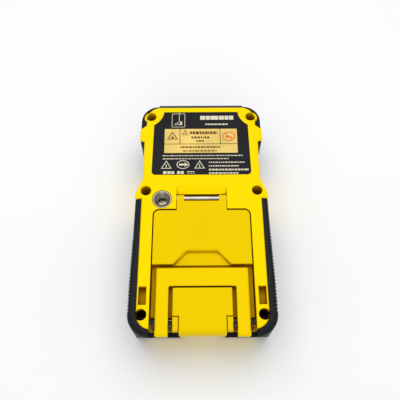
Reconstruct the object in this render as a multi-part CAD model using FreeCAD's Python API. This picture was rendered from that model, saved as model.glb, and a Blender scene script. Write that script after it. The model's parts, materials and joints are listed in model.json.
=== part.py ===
import FreeCAD, Part
import math
import os

# Laser distance meter, lying on its display side with its back up.
# Millimetres. +Z is up out of the back, +Y points to the laser end, +X is to the right
# when the back is looked at with the laser end away.
# Every piece is drawn with y measured from the tail end. write_part moves it, so that the
# origin is the middle of the rest plane.

Vector = FreeCAD.Vector

# ---- driving dimensions -------------------------------------------------------------------

# Outside of the whole meter
body_length = 113.0
body_width = 62.0            # over the rubber grips, at the widest place
body_height = 29.0
rubber_drop = 0.5            # the rubber stands this far below the back plane
rubber_round = 2.2           # rounding of the rubber's outer edges
shell_round = 1.1            # rounding of the shells' outer edges
corner_round = 9.3           # outer corners in plan, at the tail
head_corner_round = 8.3      # outer corners in plan, at the laser end
tail_upright = 3.2           # height of the upright band at the tail, below the back plane
tail_draft = 10.5            # degrees that the tail leans inward below that band

# Yellow shells
wall = 2.2
tail_wall = 3.2
grip_taper = 0.55             # the grips narrow by this much towards their upper ends
grip_thickness = 3.7         # rubber at the sides, at the widest place
tail_rubber = 2.7            # rubber at the tail
cap_thickness = 1.4          # end cap at the laser end
split_height = 14.0          # joint between front shell and rear shell
rest_rim_width = 3.0         # raised rim that the meter lies on
rest_rim_height = 0.9
flare_height = 2.9           # the shell stands out this far above the grips' upper ends
wing_height = 2.1            # the shell's small side wings, between bumper and waist
wing_drop = 7.0              # the wings reach this far below the back plane

# Screws that hold the two shells together
screw_head_radius = 2.1
screw_head_height = 1.5
screw_shank_radius = 1.1
screw_length = 9.5
screw_well_radius = 2.45
screw_well_depth = 13.0
boss_wall = 1.1
tail_boss_drop = 2.6          # the rubber covers the tail bosses by this much
screw_inset_tail = 2.1       # from the shell's side face to the screw's axis
screw_inset_head = 2.35
screw_tail_y = 8.7
screw_head_back = 7.3        # from the laser end back to the first pair

# Battery cover, hinged on a steel pin at its narrow end
cover_half_width = 21.45
cover_gap = 0.25
cover_side_gap = 0.45
cover_shoulder_gap = 0.55     # room for the shoulders as the cover swings up
tab_floor_gap = 0.4
cover_shoulder_y = 55.4
cover_shoulder_round = 2.4
cover_tab_half_width = 11.2
cover_depth = 4.75           # outer face to underside
cover_skin = 1.7
cover_recess = 0.25          # outer face below the back plane
cover_step_y = 30.1          # the full-height panel ends here
channel_depth = 3.25         # outer face to channel floor
tongue_side_gap = 1.75       # between the tongue and an arm of the end piece
tongue_top_y = 19.9
tongue_end_y = 0.8
tongue_lip_round = 2.4
finger_recess_depth = 2.2
finger_recess_length = 6.1
finger_recess_round = 0.9      # softens its edges
finger_recess_slant = 5.9     # from the foot in to the top, on each side
skirt_wall = 1.5
gasket_thickness = 0.4

# Cover hinge pin
pin_radius = 1.2
pin_y = 61.75
knuckle_wall = 0.5
knuckle_width = 3.3
pin_running_gap = 0.05
pin_seat_depth = 1.6
ramp_gap = 0.37               # room for the tab's edge as the cover swings up
ramp_length = 3.8
ramp_depth = 1.6

# Fold-out end piece and its pivot
end_side_gap = 1.95          # from the cover's side to the end piece
end_arm_width = 5.4
end_thickness = 3.0
end_bar_width = 8.0
end_bar_top_y = 28.6
end_pivot_y = 3.9
end_tip_round = 1.0
pivot_radius = 0.9
pivot_running_gap = 0.05
pocket_top_y = 8.2
block_width = 2.45
block_foot_y = 2.35
block_gap = 0.25
tang_length = 5.0
washer_radius = 1.65
washer_thickness = 1.2
clip_thickness = 0.6

# Battery bay: three AAA cells side by side
cell_count = 3
cell_radius = 5.2
cell_length = 44.5
cell_button_radius = 1.9
cell_button_height = 0.9
cell_gap = 0.35
contact_thickness = 0.4
contact_spring_length = 3.2
contact_wire_radius = 0.3
tray_wall = 1.5
tray_floor = 1.4
tray_gap = 0.2

# Tripod insert, 1/4-20 thread
insert_pin_gap = 0.35        # from the hinge pin's end to the insert
insert_y = 60.7
insert_radius = 4.5
insert_bore_radius = 2.55
insert_length = 5.4
insert_land = 0.35
insert_wall = 1.6

# Back label
label_half_width = 23.1
label_corner_round = 1.8
label_thickness = 0.25
label_recess = 0.35
label_gap = 0.1
label_margin_tail = 5.6      # from the ramp to the label
label_margin_head = 4.6      # from the laser end to the label
label_scallop_radius = 10.0

# Side recesses beside the end piece
slot_width = 3.3
slot_length = 7.8
slot_tail_y = 12.6
slot_depth = 4.0
slot_wall = 1.2

# Front panel, display and keys
panel_half_width = 20.2
panel_margin = 9.0           # from tail and laser end
panel_drop = 0.45            # panel face behind the front shell's face
panel_thickness = 1.4
panel_flange = 1.4
panel_gap = 0.15
window_half_width = 16.5
window_thickness = 1.2
window_tail_y = 67.0
window_margin_head = 14.5
display_depth = 2.6
key_travel = 0.8
key_proud = 0.5              # keys stand this far out of the panel
key_gap = 0.3
key_flange = 0.7
key_flange_thickness = 0.8
key_stem_radius = 1.4
key_stem_height = 0.5
measure_key_radius = 7.0
measure_key_y = 51.5
key_half_width = 4.6
key_half_length = 3.4
key_round = 2.2
key_pitch_x = 12.6
key_pitch_y = 11.4
side_key_x = 14.2
mat_thickness = 0.8
mat_gap = 0.1

# Circuit board
board_half_width = 21.4
board_thickness = 1.2
board_tail_y = 10.2
board_margin_head = 13.0
board_screw_radius = 0.8
board_screw_head_radius = 1.5
board_screw_depth = 2.6      # below the board
board_post_radius = 1.5

# Optics at the laser end
optics_half_width = 19.8
optics_tail_margin = 8.2     # from the tripod boss to the optics
optics_clearance = 0.4
receiver_x = -7.6
receiver_radius = 7.4
emitter_x = 11.4
emitter_radius = 4.4
laser_barrel_length = 20.0
lens_thickness = 3.0
window_disc_thickness = 1.0
window_disc_lip = 0.9
detector_radius = 2.6
fit_gap = 0.06

# Seal between the shells
seal_width = 0.8
seal_height = 0.7
seal_inset = 0.7

# Ribs on the grips
rib_pitch = 1.5
rib_depth = 0.75
rib_lean = 18.0                # the ribs lean towards the tail as they rise, in degrees
rib_tail_y = 10.4
rib_end_margin = 2.6

# ---- levels and places that follow from them ------------------------------------------------

half_width = body_width / 2
core_half = half_width - grip_thickness
head_y = body_length - cap_thickness
cover_top = body_height - cover_recess
cover_under = cover_top - cover_depth
channel_floor = cover_top - channel_depth
opening_half = cover_half_width + cover_side_gap
tab_opening_half = cover_tab_half_width + cover_gap
knuckle_radius = pin_radius + pin_running_gap + knuckle_wall
pin_z = cover_top - knuckle_radius
pin_half_length = tab_opening_half + pin_seat_depth
insert_x = pin_half_length + insert_pin_gap + insert_radius
ramp_tail_y = pin_y + knuckle_radius + ramp_gap
label_tail_y = ramp_tail_y + ramp_length + label_margin_tail
label_head_y = body_length - label_margin_head
waist_half = core_half - 0.15
grip_top_y = pin_y - 0.6
flare_top_y = grip_top_y + 10.5
wing_tail_y = body_length - 21.6
wing_head_y = body_length - 14.5
end_top = cover_top
end_bottom = end_top - end_thickness
pivot_z = end_top - end_thickness / 2
tray_top = cover_under - 0.7
tray_tail_y = tail_rubber + tail_wall
cell_z = cover_under - 0.5 - cell_radius
tray_bottom = cell_z - cell_radius - tray_floor
bay_tail_y = tray_tail_y + tray_wall
bay_length = cell_length + contact_spring_length + 2 * contact_thickness + cell_gap
tray_head_y = bay_tail_y + bay_length + tray_wall
cell_pitch = 2 * cell_radius + cell_gap
front_face = rest_rim_height
panel_face = front_face + panel_drop
panel_back = panel_face + panel_thickness
key_face = panel_face - key_proud
key_flange_z = panel_back + 0.1
key_stem_z = key_flange_z + key_flange_thickness
mat_z = key_stem_z + key_stem_height + key_travel + mat_gap
board_z = mat_z + mat_thickness
board_head_y = body_length - board_margin_head
window_head_y = body_length - window_margin_head
optics_head_y = head_y - wall - optics_clearance
optics_tail_y = insert_y + insert_radius + insert_wall + optics_tail_margin
optics_z = (board_z + board_thickness + body_height - wall) / 2
screw_waist_y = grip_top_y + 3.9
screw_seat_z = body_height - screw_well_depth
rubber_top = body_height - rubber_drop
tail_boss_top = rubber_top - tail_boss_drop
low_rubber_top = pivot_z - end_pivot_y - 0.55
end_half_width = cover_half_width - end_side_gap
arm_inner = end_half_width - end_arm_width
tongue_half_width = arm_inner - tongue_side_gap
block_outer = tongue_half_width + 0.05
block_inner = block_outer - block_width
tongue_tip_half_width = block_inner - block_gap
finger_recess_half_foot = tongue_half_width + 0.25
finger_recess_half_top = finger_recess_half_foot - finger_recess_slant


# ---- small helpers ------------------------------------------------------------------------

def block(x0, x1, y0, y1, z0, z1):
    """A box between two corners."""
    return Part.makeBox(x1 - x0, y1 - y0, z1 - z0, Vector(x0, y0, z0))


def rod(radius, start, end):
    """A round bar between two points."""
    run = Vector(*end) - Vector(*start)
    return Part.makeCylinder(radius, run.Length, Vector(*start), run)


def outline(points):
    """A closed wire through (x, y, radius) corners, each rounded by a tangent arc."""
    edges = []
    count = len(points)
    starts = []
    ends = []
    arcs = []
    for i, (x, y, radius) in enumerate(points):
        here = Vector(x, y, 0)
        before = Vector(points[i - 1][0], points[i - 1][1], 0)
        after = Vector(points[(i + 1) % count][0], points[(i + 1) % count][1], 0)
        to_before = (before - here).normalize()
        to_after = (after - here).normalize()
        if radius == 0:
            starts.append(here)
            ends.append(here)
            arcs.append(None)
            continue
        half_angle = to_before.getAngle(to_after) / 2
        reach = radius / math.tan(half_angle)
        middle_way = (to_before + to_after).normalize()
        centre = here + middle_way * (radius / math.sin(half_angle))
        first = here + to_before * reach
        last = here + to_after * reach
        starts.append(first)
        ends.append(last)
        arcs.append(Part.Arc(first, centre - middle_way * radius, last).toShape())
    for i in range(count):
        if arcs[i] is not None:
            edges.append(arcs[i])
        run_start = ends[i]
        run_end = starts[(i + 1) % count]
        if run_start.distanceToPoint(run_end) > 1e-6:
            edges.append(Part.LineSegment(run_start, run_end).toShape())
    return Part.Wire(edges)


def plate(points, z0, z1):
    """A flat plate with a rounded outline."""
    face = Part.Face(outline(points))
    face.translate(Vector(0, 0, z0))
    return face.extrude(Vector(0, 0, z1 - z0))


def both_sides(half_points):
    """The right half of an outline, tail to head, completed with its mirror image."""
    left = [(-x, y, radius) for x, y, radius in reversed(half_points)]
    return half_points + left


def mirrored(shape):
    """The same shape on the other side of the centre line."""
    return shape.mirror(Vector(0, 0, 0), Vector(1, 0, 0))


def level_edges(shape, z):
    """The edges that lie wholly at one height."""
    found = []
    for edge in shape.Edges:
        bounds = edge.BoundBox
        if abs(bounds.ZMin - z) < 1e-4 and abs(bounds.ZMax - z) < 1e-4:
            found.append(edge)
    return found


def rounded(shape, z, radius):
    """Rounds every edge at one height."""
    return shape.makeFillet(radius, level_edges(shape, z))


def rectangle(half_x, y0, y1, radius):
    """Corners of a rectangle centred on x = 0."""
    return both_sides([(half_x, y0, radius), (half_x, y1, radius)])


def ring_about_x(outer, inner, x0, x1, y, z):
    """A washer or bush whose axis runs along X."""
    body = rod(outer, (x0, y, z), (x1, y, z))
    return body.cut(rod(inner, (x0 - 1, y, z), (x1 + 1, y, z)))


def largest_solid(shape):
    """The biggest solid, without crumbs left by a cut."""
    return max(shape.Solids, key=lambda solid: solid.Volume)


# ---- outer forms that the shells and the rubber share ---------------------------------------

def tail_wedge():
    """What the leaning tail takes away from everything outside."""
    top_z = body_height - tail_upright
    lean = top_z * math.tan(math.radians(tail_draft))
    corners = [Vector(-half_width - 5, y, z) for y, z in
               ((-20, top_z), (0, top_z), (lean, 0), (lean, -5), (-20, -5))]
    face = Part.Face(Part.makePolygon(corners + corners[:1]))
    return face.extrude(Vector(body_width + 10, 0, 0))


def core_points(inset, tail_inset):
    """Plan of the yellow shells, pulled in by a wall."""
    return both_sides([
        (core_half - inset, tail_rubber + tail_inset, max(6.5 - inset, 1.5)),
        (core_half - inset, grip_top_y, 60),
        (waist_half - inset, flare_top_y + 9, 60),
        (core_half - inset, wing_tail_y + 1, 30),
        (core_half - 0.7 - inset, wing_head_y + 1.5, 30),
        (core_half - 0.7 - inset, head_y - inset, max(7.0 - inset, 1.5)),
    ])


def rubber_points():
    """Plan of the meter over its rubber."""
    waist = waist_half - 0.4
    return both_sides([
        (half_width, 0, corner_round),
        (half_width, 22, 60),
        (half_width - grip_taper, 45, 80),
        (half_width - 0.9, grip_top_y + 2.5, 12),
        (waist, flare_top_y + 1.5, 15),
        (waist, wing_tail_y - 6.5, 15),
        (half_width - 1.6, wing_tail_y + 1.5, 8),
        (half_width - 1.9, body_length, head_corner_round),
    ])


def rubber_edge(y):
    """Half width over a grip at one distance from the tail."""
    if y < 22:
        return half_width
    return half_width - grip_taper * min((y - 22) / 23, 1)


def rubber_body():
    """The whole form over the rubber, before the shells are taken out of it."""
    body = plate(rubber_points(), 0.2, rubber_top)
    body = rounded(body, rubber_top, rubber_round)
    body = rounded(body, 0.2, rubber_round)
    return body.cut(tail_wedge())


def core_body(z0, z1, round_z):
    """The solid form of a shell, with the edge at round_z rounded."""
    body = plate(core_points(0, 0), z0, z1)
    body = rounded(body, round_z, shell_round)
    flare = plate([
        (core_half - 6, grip_top_y, 0),
        (core_half + flare_height, grip_top_y, 0.8),
        (core_half + flare_height, grip_top_y + 3, 4),
        (waist_half - 0.3, flare_top_y, 0),
        (core_half - 6, flare_top_y + 3, 0),
    ], z0, z1)
    flare = rounded(flare, round_z, shell_round * 0.7)
    return body.fuse([flare, mirrored(flare)])


def wing():
    """The small wing at the right side of the rear shell."""
    inner = core_half - 5
    shape = plate([
        (inner, wing_tail_y - 1, 0),
        (core_half - 0.1, wing_tail_y, 0),
        (core_half + wing_height, wing_tail_y + 1.2, 0.8),
        (core_half + wing_height, wing_head_y, 0.3),
        (core_half - 1, wing_head_y + 2.6, 0),
        (inner, wing_head_y + 2.6, 0),
    ], body_height - wing_drop, body_height)
    return rounded(shape, body_height, shell_round * 0.7)


def finger_scoop():
    """A leaning round hollow at the tail, under the cover's lip."""
    radius = 17.0
    lean = math.radians(tail_draft + 1.5)
    top = Vector(0, 2.4 - radius, low_rubber_top)
    down = Vector(0, math.sin(lean), -math.cos(lean))
    scoop = Part.makeCylinder(radius, body_height + 4, top - down * 2, down)
    half = tongue_tip_half_width - 0.2
    return scoop.common(block(-half, half, -10, 30, -3, low_rubber_top + 0.2))


def screw_places():
    """The axes of the six housing screws."""
    places = []
    for side in (-1, 1):
        places.append((side * (core_half - screw_inset_tail), screw_tail_y))
        places.append((side * (core_half - 1.95), screw_waist_y))
        places.append((side * (core_half - 0.7 - screw_inset_head), body_length - screw_head_back))
    return places


# ---- battery bay ----------------------------------------------------------------------------

def cell_places():
    """x of each cell, and which way its button points."""
    first = -cell_pitch * (cell_count - 1) / 2
    return [(first + i * cell_pitch, 1 if i % 2 == 0 else -1) for i in range(cell_count)]


def cell_start(direction):
    """y of the cell's flat end face nearest the tail."""
    spring_room = contact_thickness + contact_spring_length
    flat_room = contact_thickness + cell_gap / 2
    return bay_tail_y + (spring_room if direction > 0 else flat_room)


def battery_cell(x, direction):
    """An AAA cell: can, crimped shoulder and contact button."""
    can_length = cell_length - cell_button_height
    shoulder = 0.5
    profile = [
        (0, 0), (cell_radius - shoulder, 0), (cell_radius, shoulder),
        (cell_radius, can_length - shoulder), (cell_radius - shoulder, can_length),
        (cell_button_radius, can_length), (cell_button_radius, cell_length), (0, cell_length),
    ]
    corners = [Vector(radius, along, 0) for radius, along in profile]
    face = Part.Face(Part.makePolygon(corners + corners[:1]))
    cell = face.revolve(Vector(0, 0, 0), Vector(0, 1, 0), 360)
    if direction < 0:
        cell.rotate(Vector(0, 0, 0), Vector(0, 0, 1), 180)
        cell.translate(Vector(0, cell_length, 0))
    cell.translate(Vector(x, cell_start(direction), cell_z))
    return cell


def battery_tray():
    """The tray under the cells, with a round channel for each and slots for the contacts."""
    half = opening_half - tray_gap
    tray = block(-half, half, tray_tail_y, tray_head_y, tray_bottom, tray_top)
    channel = cell_radius + cell_gap / 2
    bay_head_y = bay_tail_y + bay_length
    for x, _ in cell_places():
        tray = tray.cut(rod(channel, (x, bay_tail_y, cell_z), (x, bay_head_y, cell_z)))
        tray = tray.cut(block(x - channel, x + channel, bay_tail_y, bay_head_y, cell_z, tray_top + 1))
    side_x = cell_pitch * cell_count / 2 + tray_wall
    if half - tray_wall - side_x > 1:
        lightening = block(side_x, half - tray_wall, bay_tail_y, bay_head_y,
                           tray_bottom + tray_floor, tray_top + 1)
        tray = tray.cut([lightening, mirrored(lightening)])
    scoop_room = block(-6, 6, tray_tail_y - 1, tray_tail_y + 0.4, tray_bottom - 1, tray_top + 1)
    return tray.cut(scoop_room)


def tray_room(z0, z1):
    """The room that the shells leave for the tray."""
    return block(-opening_half, opening_half, tray_tail_y - 0.05, tray_head_y + 0.2, z0, z1)


def contact_plates(y):
    """One plated contact strip for each cell, across one end of the bay."""
    strips = []
    half = cell_radius * 0.72
    for x, _ in cell_places():
        strips.append(block(x - half, x + half, y, y + contact_thickness,
                            cell_z - cell_radius * 0.7, cell_z + cell_radius * 0.8))
    return Part.makeCompound(strips)


def contact_springs():
    """The springs that press on the cells' flat ends: stacked rings tied by two wires."""
    springs = []
    turns = 4
    rise = contact_spring_length - 0.25 - 2 * contact_wire_radius
    ring_radius = cell_radius * 0.58
    for x, direction in cell_places():
        base = bay_tail_y + contact_thickness + 0.05 + contact_wire_radius
        if direction < 0:
            base = bay_tail_y + bay_length - contact_thickness - 0.05 - contact_wire_radius - rise
        along = Vector(0, 1, 0)
        rings = [Part.makeTorus(ring_radius, contact_wire_radius,
                                Vector(x, base + i * rise / (turns - 1), cell_z), along)
                 for i in range(turns)]
        ties = [rod(contact_wire_radius * 0.8, (x, base, cell_z + side * ring_radius),
                    (x, base + rise, cell_z + side * ring_radius)) for side in (-1, 1)]
        springs.append(rings[0].fuse(rings[1:] + ties))
    return Part.makeCompound(springs)


# ---- battery cover, hinge and end piece -----------------------------------------------------

def cover_rim(cover):
    """The edges of the cover's outer face, without those of its tab's end and of the tongue's lip."""
    return [edge for edge in level_edges(cover, cover_top)
            if tongue_end_y + tongue_lip_round - 0.1 < edge.BoundBox.YMin < pin_y - 0.5]


def borders_finger_recess(edge):
    """Whether an edge of the cover's outer face runs round the finger recess."""
    box = edge.BoundBox
    recess_end = cover_step_y + finger_recess_length + 0.1
    return max(-box.XMin, box.XMax) < finger_recess_half_foot + 0.9 \
        and cover_step_y - 0.1 < box.YMin and cover_step_y + 0.5 < box.YMax < recess_end


def battery_cover():
    """The T-shaped cover: panel, finger recess, channel for the end piece and raised tongue."""
    cover = plate(both_sides([
        (cover_half_width, tongue_end_y, 0),
        (cover_half_width, cover_shoulder_y, cover_shoulder_round),
        (cover_tab_half_width, cover_shoulder_y, 0),
        (cover_tab_half_width, pin_y, 0),
    ]), cover_under, cover_top)
    low_channel = block(-40, 40, -1, cover_step_y, channel_floor, cover_top + 1)
    tongue = plate(rectangle(tongue_half_width, tongue_end_y - 5, tongue_top_y, 0.6),
                   channel_floor - 1, cover_top + 2)
    cover = cover.cut(low_channel.cut(tongue))
    recess = plate(both_sides([
        (finger_recess_half_foot + 0.8, cover_step_y - 1, 0),
        (finger_recess_half_top, cover_step_y + finger_recess_length, 1.6),
    ]), cover_top - finger_recess_depth, cover_top + 1)
    cover = cover.cut(recess)
    pocket = block(tongue_tip_half_width, cover_half_width + 2, -1, pocket_top_y,
                   cover_under - 1, cover_top + 1)
    tang_slot = block(block_inner, block_inner + block_width, pocket_top_y - 1,
                      pocket_top_y + tang_length, cover_under - 1, cover_under + 1.0)
    cover = cover.cut([pocket, mirrored(pocket), tang_slot, mirrored(tang_slot)])
    lip = [edge for edge in level_edges(cover, cover_top)
           if edge.BoundBox.YMax < tongue_end_y + 0.1]
    cover = cover.makeFillet(tongue_lip_round, lip)
    soft = [edge for edge in cover_rim(cover) if borders_finger_recess(edge)]
    cover = cover.makeFillet(finger_recess_round, soft)
    sharp = [edge for edge in cover_rim(cover) if not borders_finger_recess(edge)]
    reach = finger_recess_half_foot + 0.6
    sharp = [edge for edge in sharp
             if max(abs(edge.BoundBox.XMin), abs(edge.BoundBox.XMax)) > reach
             or edge.BoundBox.YMin < cover_step_y - 0.2]
    cover = cover.makeFillet(0.4, sharp)
    hollow_top = cover_top - cover_skin
    hollow = block(1.8 - cover_half_width, cover_half_width - 1.8, cover_step_y + 7.5,
                   cover_shoulder_y - 1.8, cover_under - 1, hollow_top)
    hollow_half = tongue_tip_half_width - 1.7
    tongue_hollow = block(-hollow_half, hollow_half, tongue_end_y + 4.5, tongue_top_y - 2,
                          cover_under - 1, hollow_top)
    tab_relief = block(-cover_tab_half_width - 1, cover_tab_half_width + 1,
                       cover_shoulder_y - 0.4, pin_y + 5, cover_under - 1, pin_z - knuckle_radius)
    notch_half = cover_tab_half_width - knuckle_width
    notch = block(-notch_half, notch_half, pin_y - knuckle_radius - 0.1, pin_y + 5,
                  cover_under - 1, cover_top + 1)
    knuckle = rod(knuckle_radius, (-cover_tab_half_width, pin_y, pin_z),
                  (cover_tab_half_width, pin_y, pin_z))
    cover = cover.cut([hollow, tongue_hollow, tab_relief]).fuse(knuckle).cut(notch)
    bore = rod(pin_radius + pin_running_gap, (-30, pin_y, pin_z), (30, pin_y, pin_z))
    return largest_solid(cover.cut(bore))


def cover_gasket():
    """The foam frame under the cover that seals the battery bay."""
    outer = rectangle(cover_half_width - 0.9, pocket_top_y + tang_length + 0.8,
                      cover_shoulder_y - 1.0, 1.5)
    inner = rectangle(cover_half_width - 2.1, pocket_top_y + tang_length + 2.0,
                      cover_shoulder_y - 2.2, 0.6)
    low = cover_under - gasket_thickness
    return plate(outer, low, cover_under).cut(plate(inner, low - 1, cover_under + 1))


def hinge_block():
    """The right pivot block: an upright cheek and a tang that is pressed into the cover."""
    x0 = block_inner
    x1 = block_outer
    cheek = block(x0, x1, block_foot_y, pocket_top_y - block_gap, cover_under + 0.1, cover_top - 0.3)
    cheek = cheek.makeFillet(0.4, level_edges(cheek, cover_top - 0.3))
    tang = block(x0 + 0.05, x1 - 0.05, pocket_top_y - 1, pocket_top_y + tang_length - 0.05,
                 cover_under + 0.1, cover_under + 0.95)
    cheek = cheek.fuse(tang)
    return cheek.cut(rod(pivot_radius, (x0 - 1, end_pivot_y, pivot_z), (x1 + 1, end_pivot_y, pivot_z)))


def pivot_pin():
    """The right pivot pin, pressed into its block and carrying one arm of the end piece."""
    tip = end_half_width + 0.2 + clip_thickness + 0.4
    pin = rod(pivot_radius, (block_inner, end_pivot_y, pivot_z), (tip, end_pivot_y, pivot_z))
    ends = [edge for edge in pin.Edges if edge.BoundBox.XMin > tip - 0.01]
    return pin.makeChamfer(0.25, ends)


def friction_washer():
    """The spring washer that holds the end piece where it is put."""
    start = block_outer + 0.1
    return ring_about_x(washer_radius, pivot_radius + 0.05, start, start + washer_thickness,
                        end_pivot_y, pivot_z)


def pivot_clip():
    """The clip that keeps the arm on its pin."""
    start = end_half_width + 0.2
    return ring_about_x(washer_radius, pivot_radius + 0.03, start, start + clip_thickness,
                        end_pivot_y, pivot_z)


def end_piece():
    """The U-shaped end piece that folds out past the tail."""
    frame = plate(rectangle(end_half_width, 0, end_bar_top_y, 0.8), end_bottom, end_top)
    frame = frame.makeFillet(end_tip_round, [
        edge for edge in frame.Edges
        if edge.BoundBox.YMax < 0.01 and edge.BoundBox.XLength > 10])
    gap = plate(rectangle(arm_inner, -5, end_bar_top_y - end_bar_width, 0.7),
                end_bottom - 1, end_top + 1)
    frame = frame.cut(gap)
    top = [edge for edge in level_edges(frame, end_top) if edge.BoundBox.YMin > 0.9]
    frame = frame.makeFillet(0.4, top)
    bore = rod(pivot_radius + pivot_running_gap, (-40, end_pivot_y, pivot_z), (40, end_pivot_y, pivot_z))
    return frame.cut(bore)


# ---- shells -----------------------------------------------------------------------------------

def bosses(z0, z1, radius, tail_top=None):
    """Round posts at the six screw axes. The two at the tail may end lower."""
    posts = []
    for x, y in screw_places():
        top = tail_top if tail_top and y == screw_tail_y else z1
        posts.append(rod(radius, (x, y, z0), (x, y, top)))
    return posts


def label_points(grow):
    """Plan of the label."""
    return both_sides([
        (label_half_width + grow, label_tail_y - grow, label_corner_round + grow),
        (label_half_width - 0.5 + grow, label_head_y + grow, 0.3),
    ])


def label_plate(grow, z0, z1):
    """The label's form, scalloped round the two screws at the laser end."""
    shape = plate(label_points(grow), z0, z1)
    for x, y in screw_places():
        if y > label_tail_y:
            away = 1 if x > 0 else -1
            centre_x = x + away * (label_scallop_radius - 6.3)
            centre_y = y + label_scallop_radius - 6.3
            scallop = rod(label_scallop_radius - grow, (centre_x, centre_y, z0 - 1),
                          (centre_x, centre_y, z1 + 1))
            shape = shape.cut(scallop)
    return largest_solid(shape)


def rear_shell():
    """The shell with the back: label recess, cover opening, hinge seats and tripod boss."""
    shell = core_body(split_height, body_height, body_height)
    shell = shell.fuse([wing(), mirrored(wing())])
    boss_radius = screw_well_radius + boss_wall
    shell = shell.fuse(bosses(split_height, body_height - shell_round, boss_radius, tail_boss_top))
    cavity = plate(core_points(wall, tail_wall), split_height - 1, body_height - wall)
    skirt = plate(both_sides([
        (opening_half + skirt_wall, tail_rubber, 0),
        (opening_half + skirt_wall, cover_shoulder_y + skirt_wall, 2),
        (tab_opening_half + pin_seat_depth + 1, cover_shoulder_y + skirt_wall, 0),
        (tab_opening_half + pin_seat_depth + 1, ramp_tail_y + ramp_length + 1, 0),
    ]), tray_top + 0.1, body_height - 1)
    insert_boss = rod(insert_radius + insert_wall,
                      (-insert_x, insert_y, body_height - insert_length - 1.5),
                      (-insert_x, insert_y, body_height - 0.5))
    slot_x = (opening_half + core_half) / 2 + 0.25
    slot_top = body_height + 1
    slot = block(slot_x - slot_width / 2, slot_x + slot_width / 2, slot_tail_y,
                 slot_tail_y + slot_length, body_height - slot_depth, slot_top)
    slot_box = block(slot_x - slot_width / 2 - slot_wall, slot_x + slot_width / 2 + slot_wall,
                     slot_tail_y - slot_wall, slot_tail_y + slot_length + slot_wall,
                     body_height - slot_depth - slot_wall, slot_top)
    inside = [skirt, insert_boss, slot_box, mirrored(slot_box)]
    inside += bosses(split_height, body_height - 1, boss_radius)
    for piece in inside:
        cavity = cavity.cut(piece)
    shell = shell.cut(cavity)
    # The opening for the cover, and the room for the tray below it.
    shoulder_y = cover_shoulder_y + cover_shoulder_gap
    wide_opening = plate(both_sides([
        (opening_half, -20, 0),
        (opening_half, shoulder_y, cover_shoulder_round + cover_shoulder_gap),
    ]), tray_top + 0.05, body_height + 1)
    tab_opening = block(-tab_opening_half, tab_opening_half, shoulder_y - 1, ramp_tail_y,
                        pin_z - knuckle_radius - tab_floor_gap, body_height + 1)
    tail_gap = block(-opening_half, opening_half, -1, tray_tail_y, low_rubber_top, body_height + 1)
    shell = shell.cut([wide_opening, tab_opening, tail_gap, tray_room(split_height - 1, tray_top + 0.2)])
    # Ramp that lets the opened cover lean back, and the pin's seats.
    corners = [Vector(-tab_opening_half, y, z) for y, z in (
        (ramp_tail_y - 0.5, body_height - ramp_depth), (ramp_tail_y, body_height - ramp_depth),
        (ramp_tail_y + ramp_length, body_height), (ramp_tail_y + ramp_length, body_height + 1),
        (ramp_tail_y - 0.5, body_height + 1))]
    ramp_face = Part.Face(Part.makePolygon(corners + corners[:1]))
    shell = shell.cut(ramp_face.extrude(Vector(2 * tab_opening_half, 0, 0)))
    shell = shell.cut(rod(pin_radius, (-pin_half_length, pin_y, pin_z), (pin_half_length, pin_y, pin_z)))
    # Wells and shank holes of the screws.
    wells = [rod(screw_well_radius, (x, y, screw_seat_z), (x, y, body_height + 1))
             for x, y in screw_places()]
    shanks = [rod(screw_shank_radius + 0.1, (x, y, split_height - 1), (x, y, screw_seat_z + 1))
              for x, y in screw_places()]
    shell = shell.cut(wells + shanks)
    # Tripod insert, label and side recesses.
    shell = shell.cut(rod(insert_radius, (-insert_x, insert_y, body_height - insert_length),
                          (-insert_x, insert_y, body_height + 1)))
    shell = shell.cut(label_plate(label_gap, body_height - label_recess, body_height + 1))
    shell = shell.cut([slot, mirrored(slot), finger_scoop(), tail_wedge()])
    return largest_solid(shell)


def panel_points(grow):
    """Plan of the front panel."""
    return rectangle(panel_half_width + grow, panel_margin - grow,
                     body_length - panel_margin + grow, 4.0 + grow)


def front_shell():
    """The shell with the display side: rest rim, panel opening, screw posts and seal groove."""
    shell = core_body(front_face, split_height, front_face)
    rim_out = panel_points(panel_gap + rest_rim_width)
    rim_in = panel_points(panel_gap)
    rim = plate(rim_out, 0, front_face + 0.5)
    rim = rounded(rim, 0, 0.5)
    shell = shell.fuse(rim)
    cavity = plate(core_points(wall, tail_wall + 1.5), front_face + wall, split_height + 1)
    posts = bosses(front_face + wall - 0.5, split_height, screw_well_radius + boss_wall)
    for post in posts:
        cavity = cavity.cut(post)
    shell = shell.fuse(posts).cut(cavity)
    shell = shell.cut(plate(rim_in, -1, front_face + wall + 1))
    tips = [rod(screw_shank_radius, (x, y, screw_seat_z - screw_length), (x, y, split_height + 1))
            for x, y in screw_places()]
    shell = shell.cut(tips)
    shell = shell.cut([tray_room(tray_bottom - 0.2, split_height + 1), finger_scoop(), tail_wedge()])
    return largest_solid(shell.cut(seal_ring(0.05)))


def seal_ring(grow):
    """The ring between the shells: the seal itself, or its groove when grown."""
    low = split_height - seal_height
    outer = plate(core_points(seal_inset - grow, seal_inset + 1.6 - grow), low - grow, split_height)
    inner = plate(core_points(seal_inset + seal_width + grow, seal_inset + 1.6 + seal_width + grow),
                  low - 1, split_height + 1)
    ring = outer.cut(inner)
    wells = bosses(low - 1, split_height + 1, screw_well_radius + 0.3 - grow)
    return Part.makeCompound(ring.cut(wells).Solids)


def rubber_part(y0, y1):
    """The rubber on the right side, between two distances from the tail."""
    rubber = rubber_body().common(block(0, half_width + 5, y0, y1, -1, body_height + 1))
    core = core_body(0, body_height + 1, body_height + 1)
    posts = bosses(0, body_height + 1, screw_well_radius + boss_wall, tail_boss_top)
    wells = bosses(0, body_height + 1, screw_well_radius)
    return rubber.cut(core).cut(posts + wells)


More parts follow.
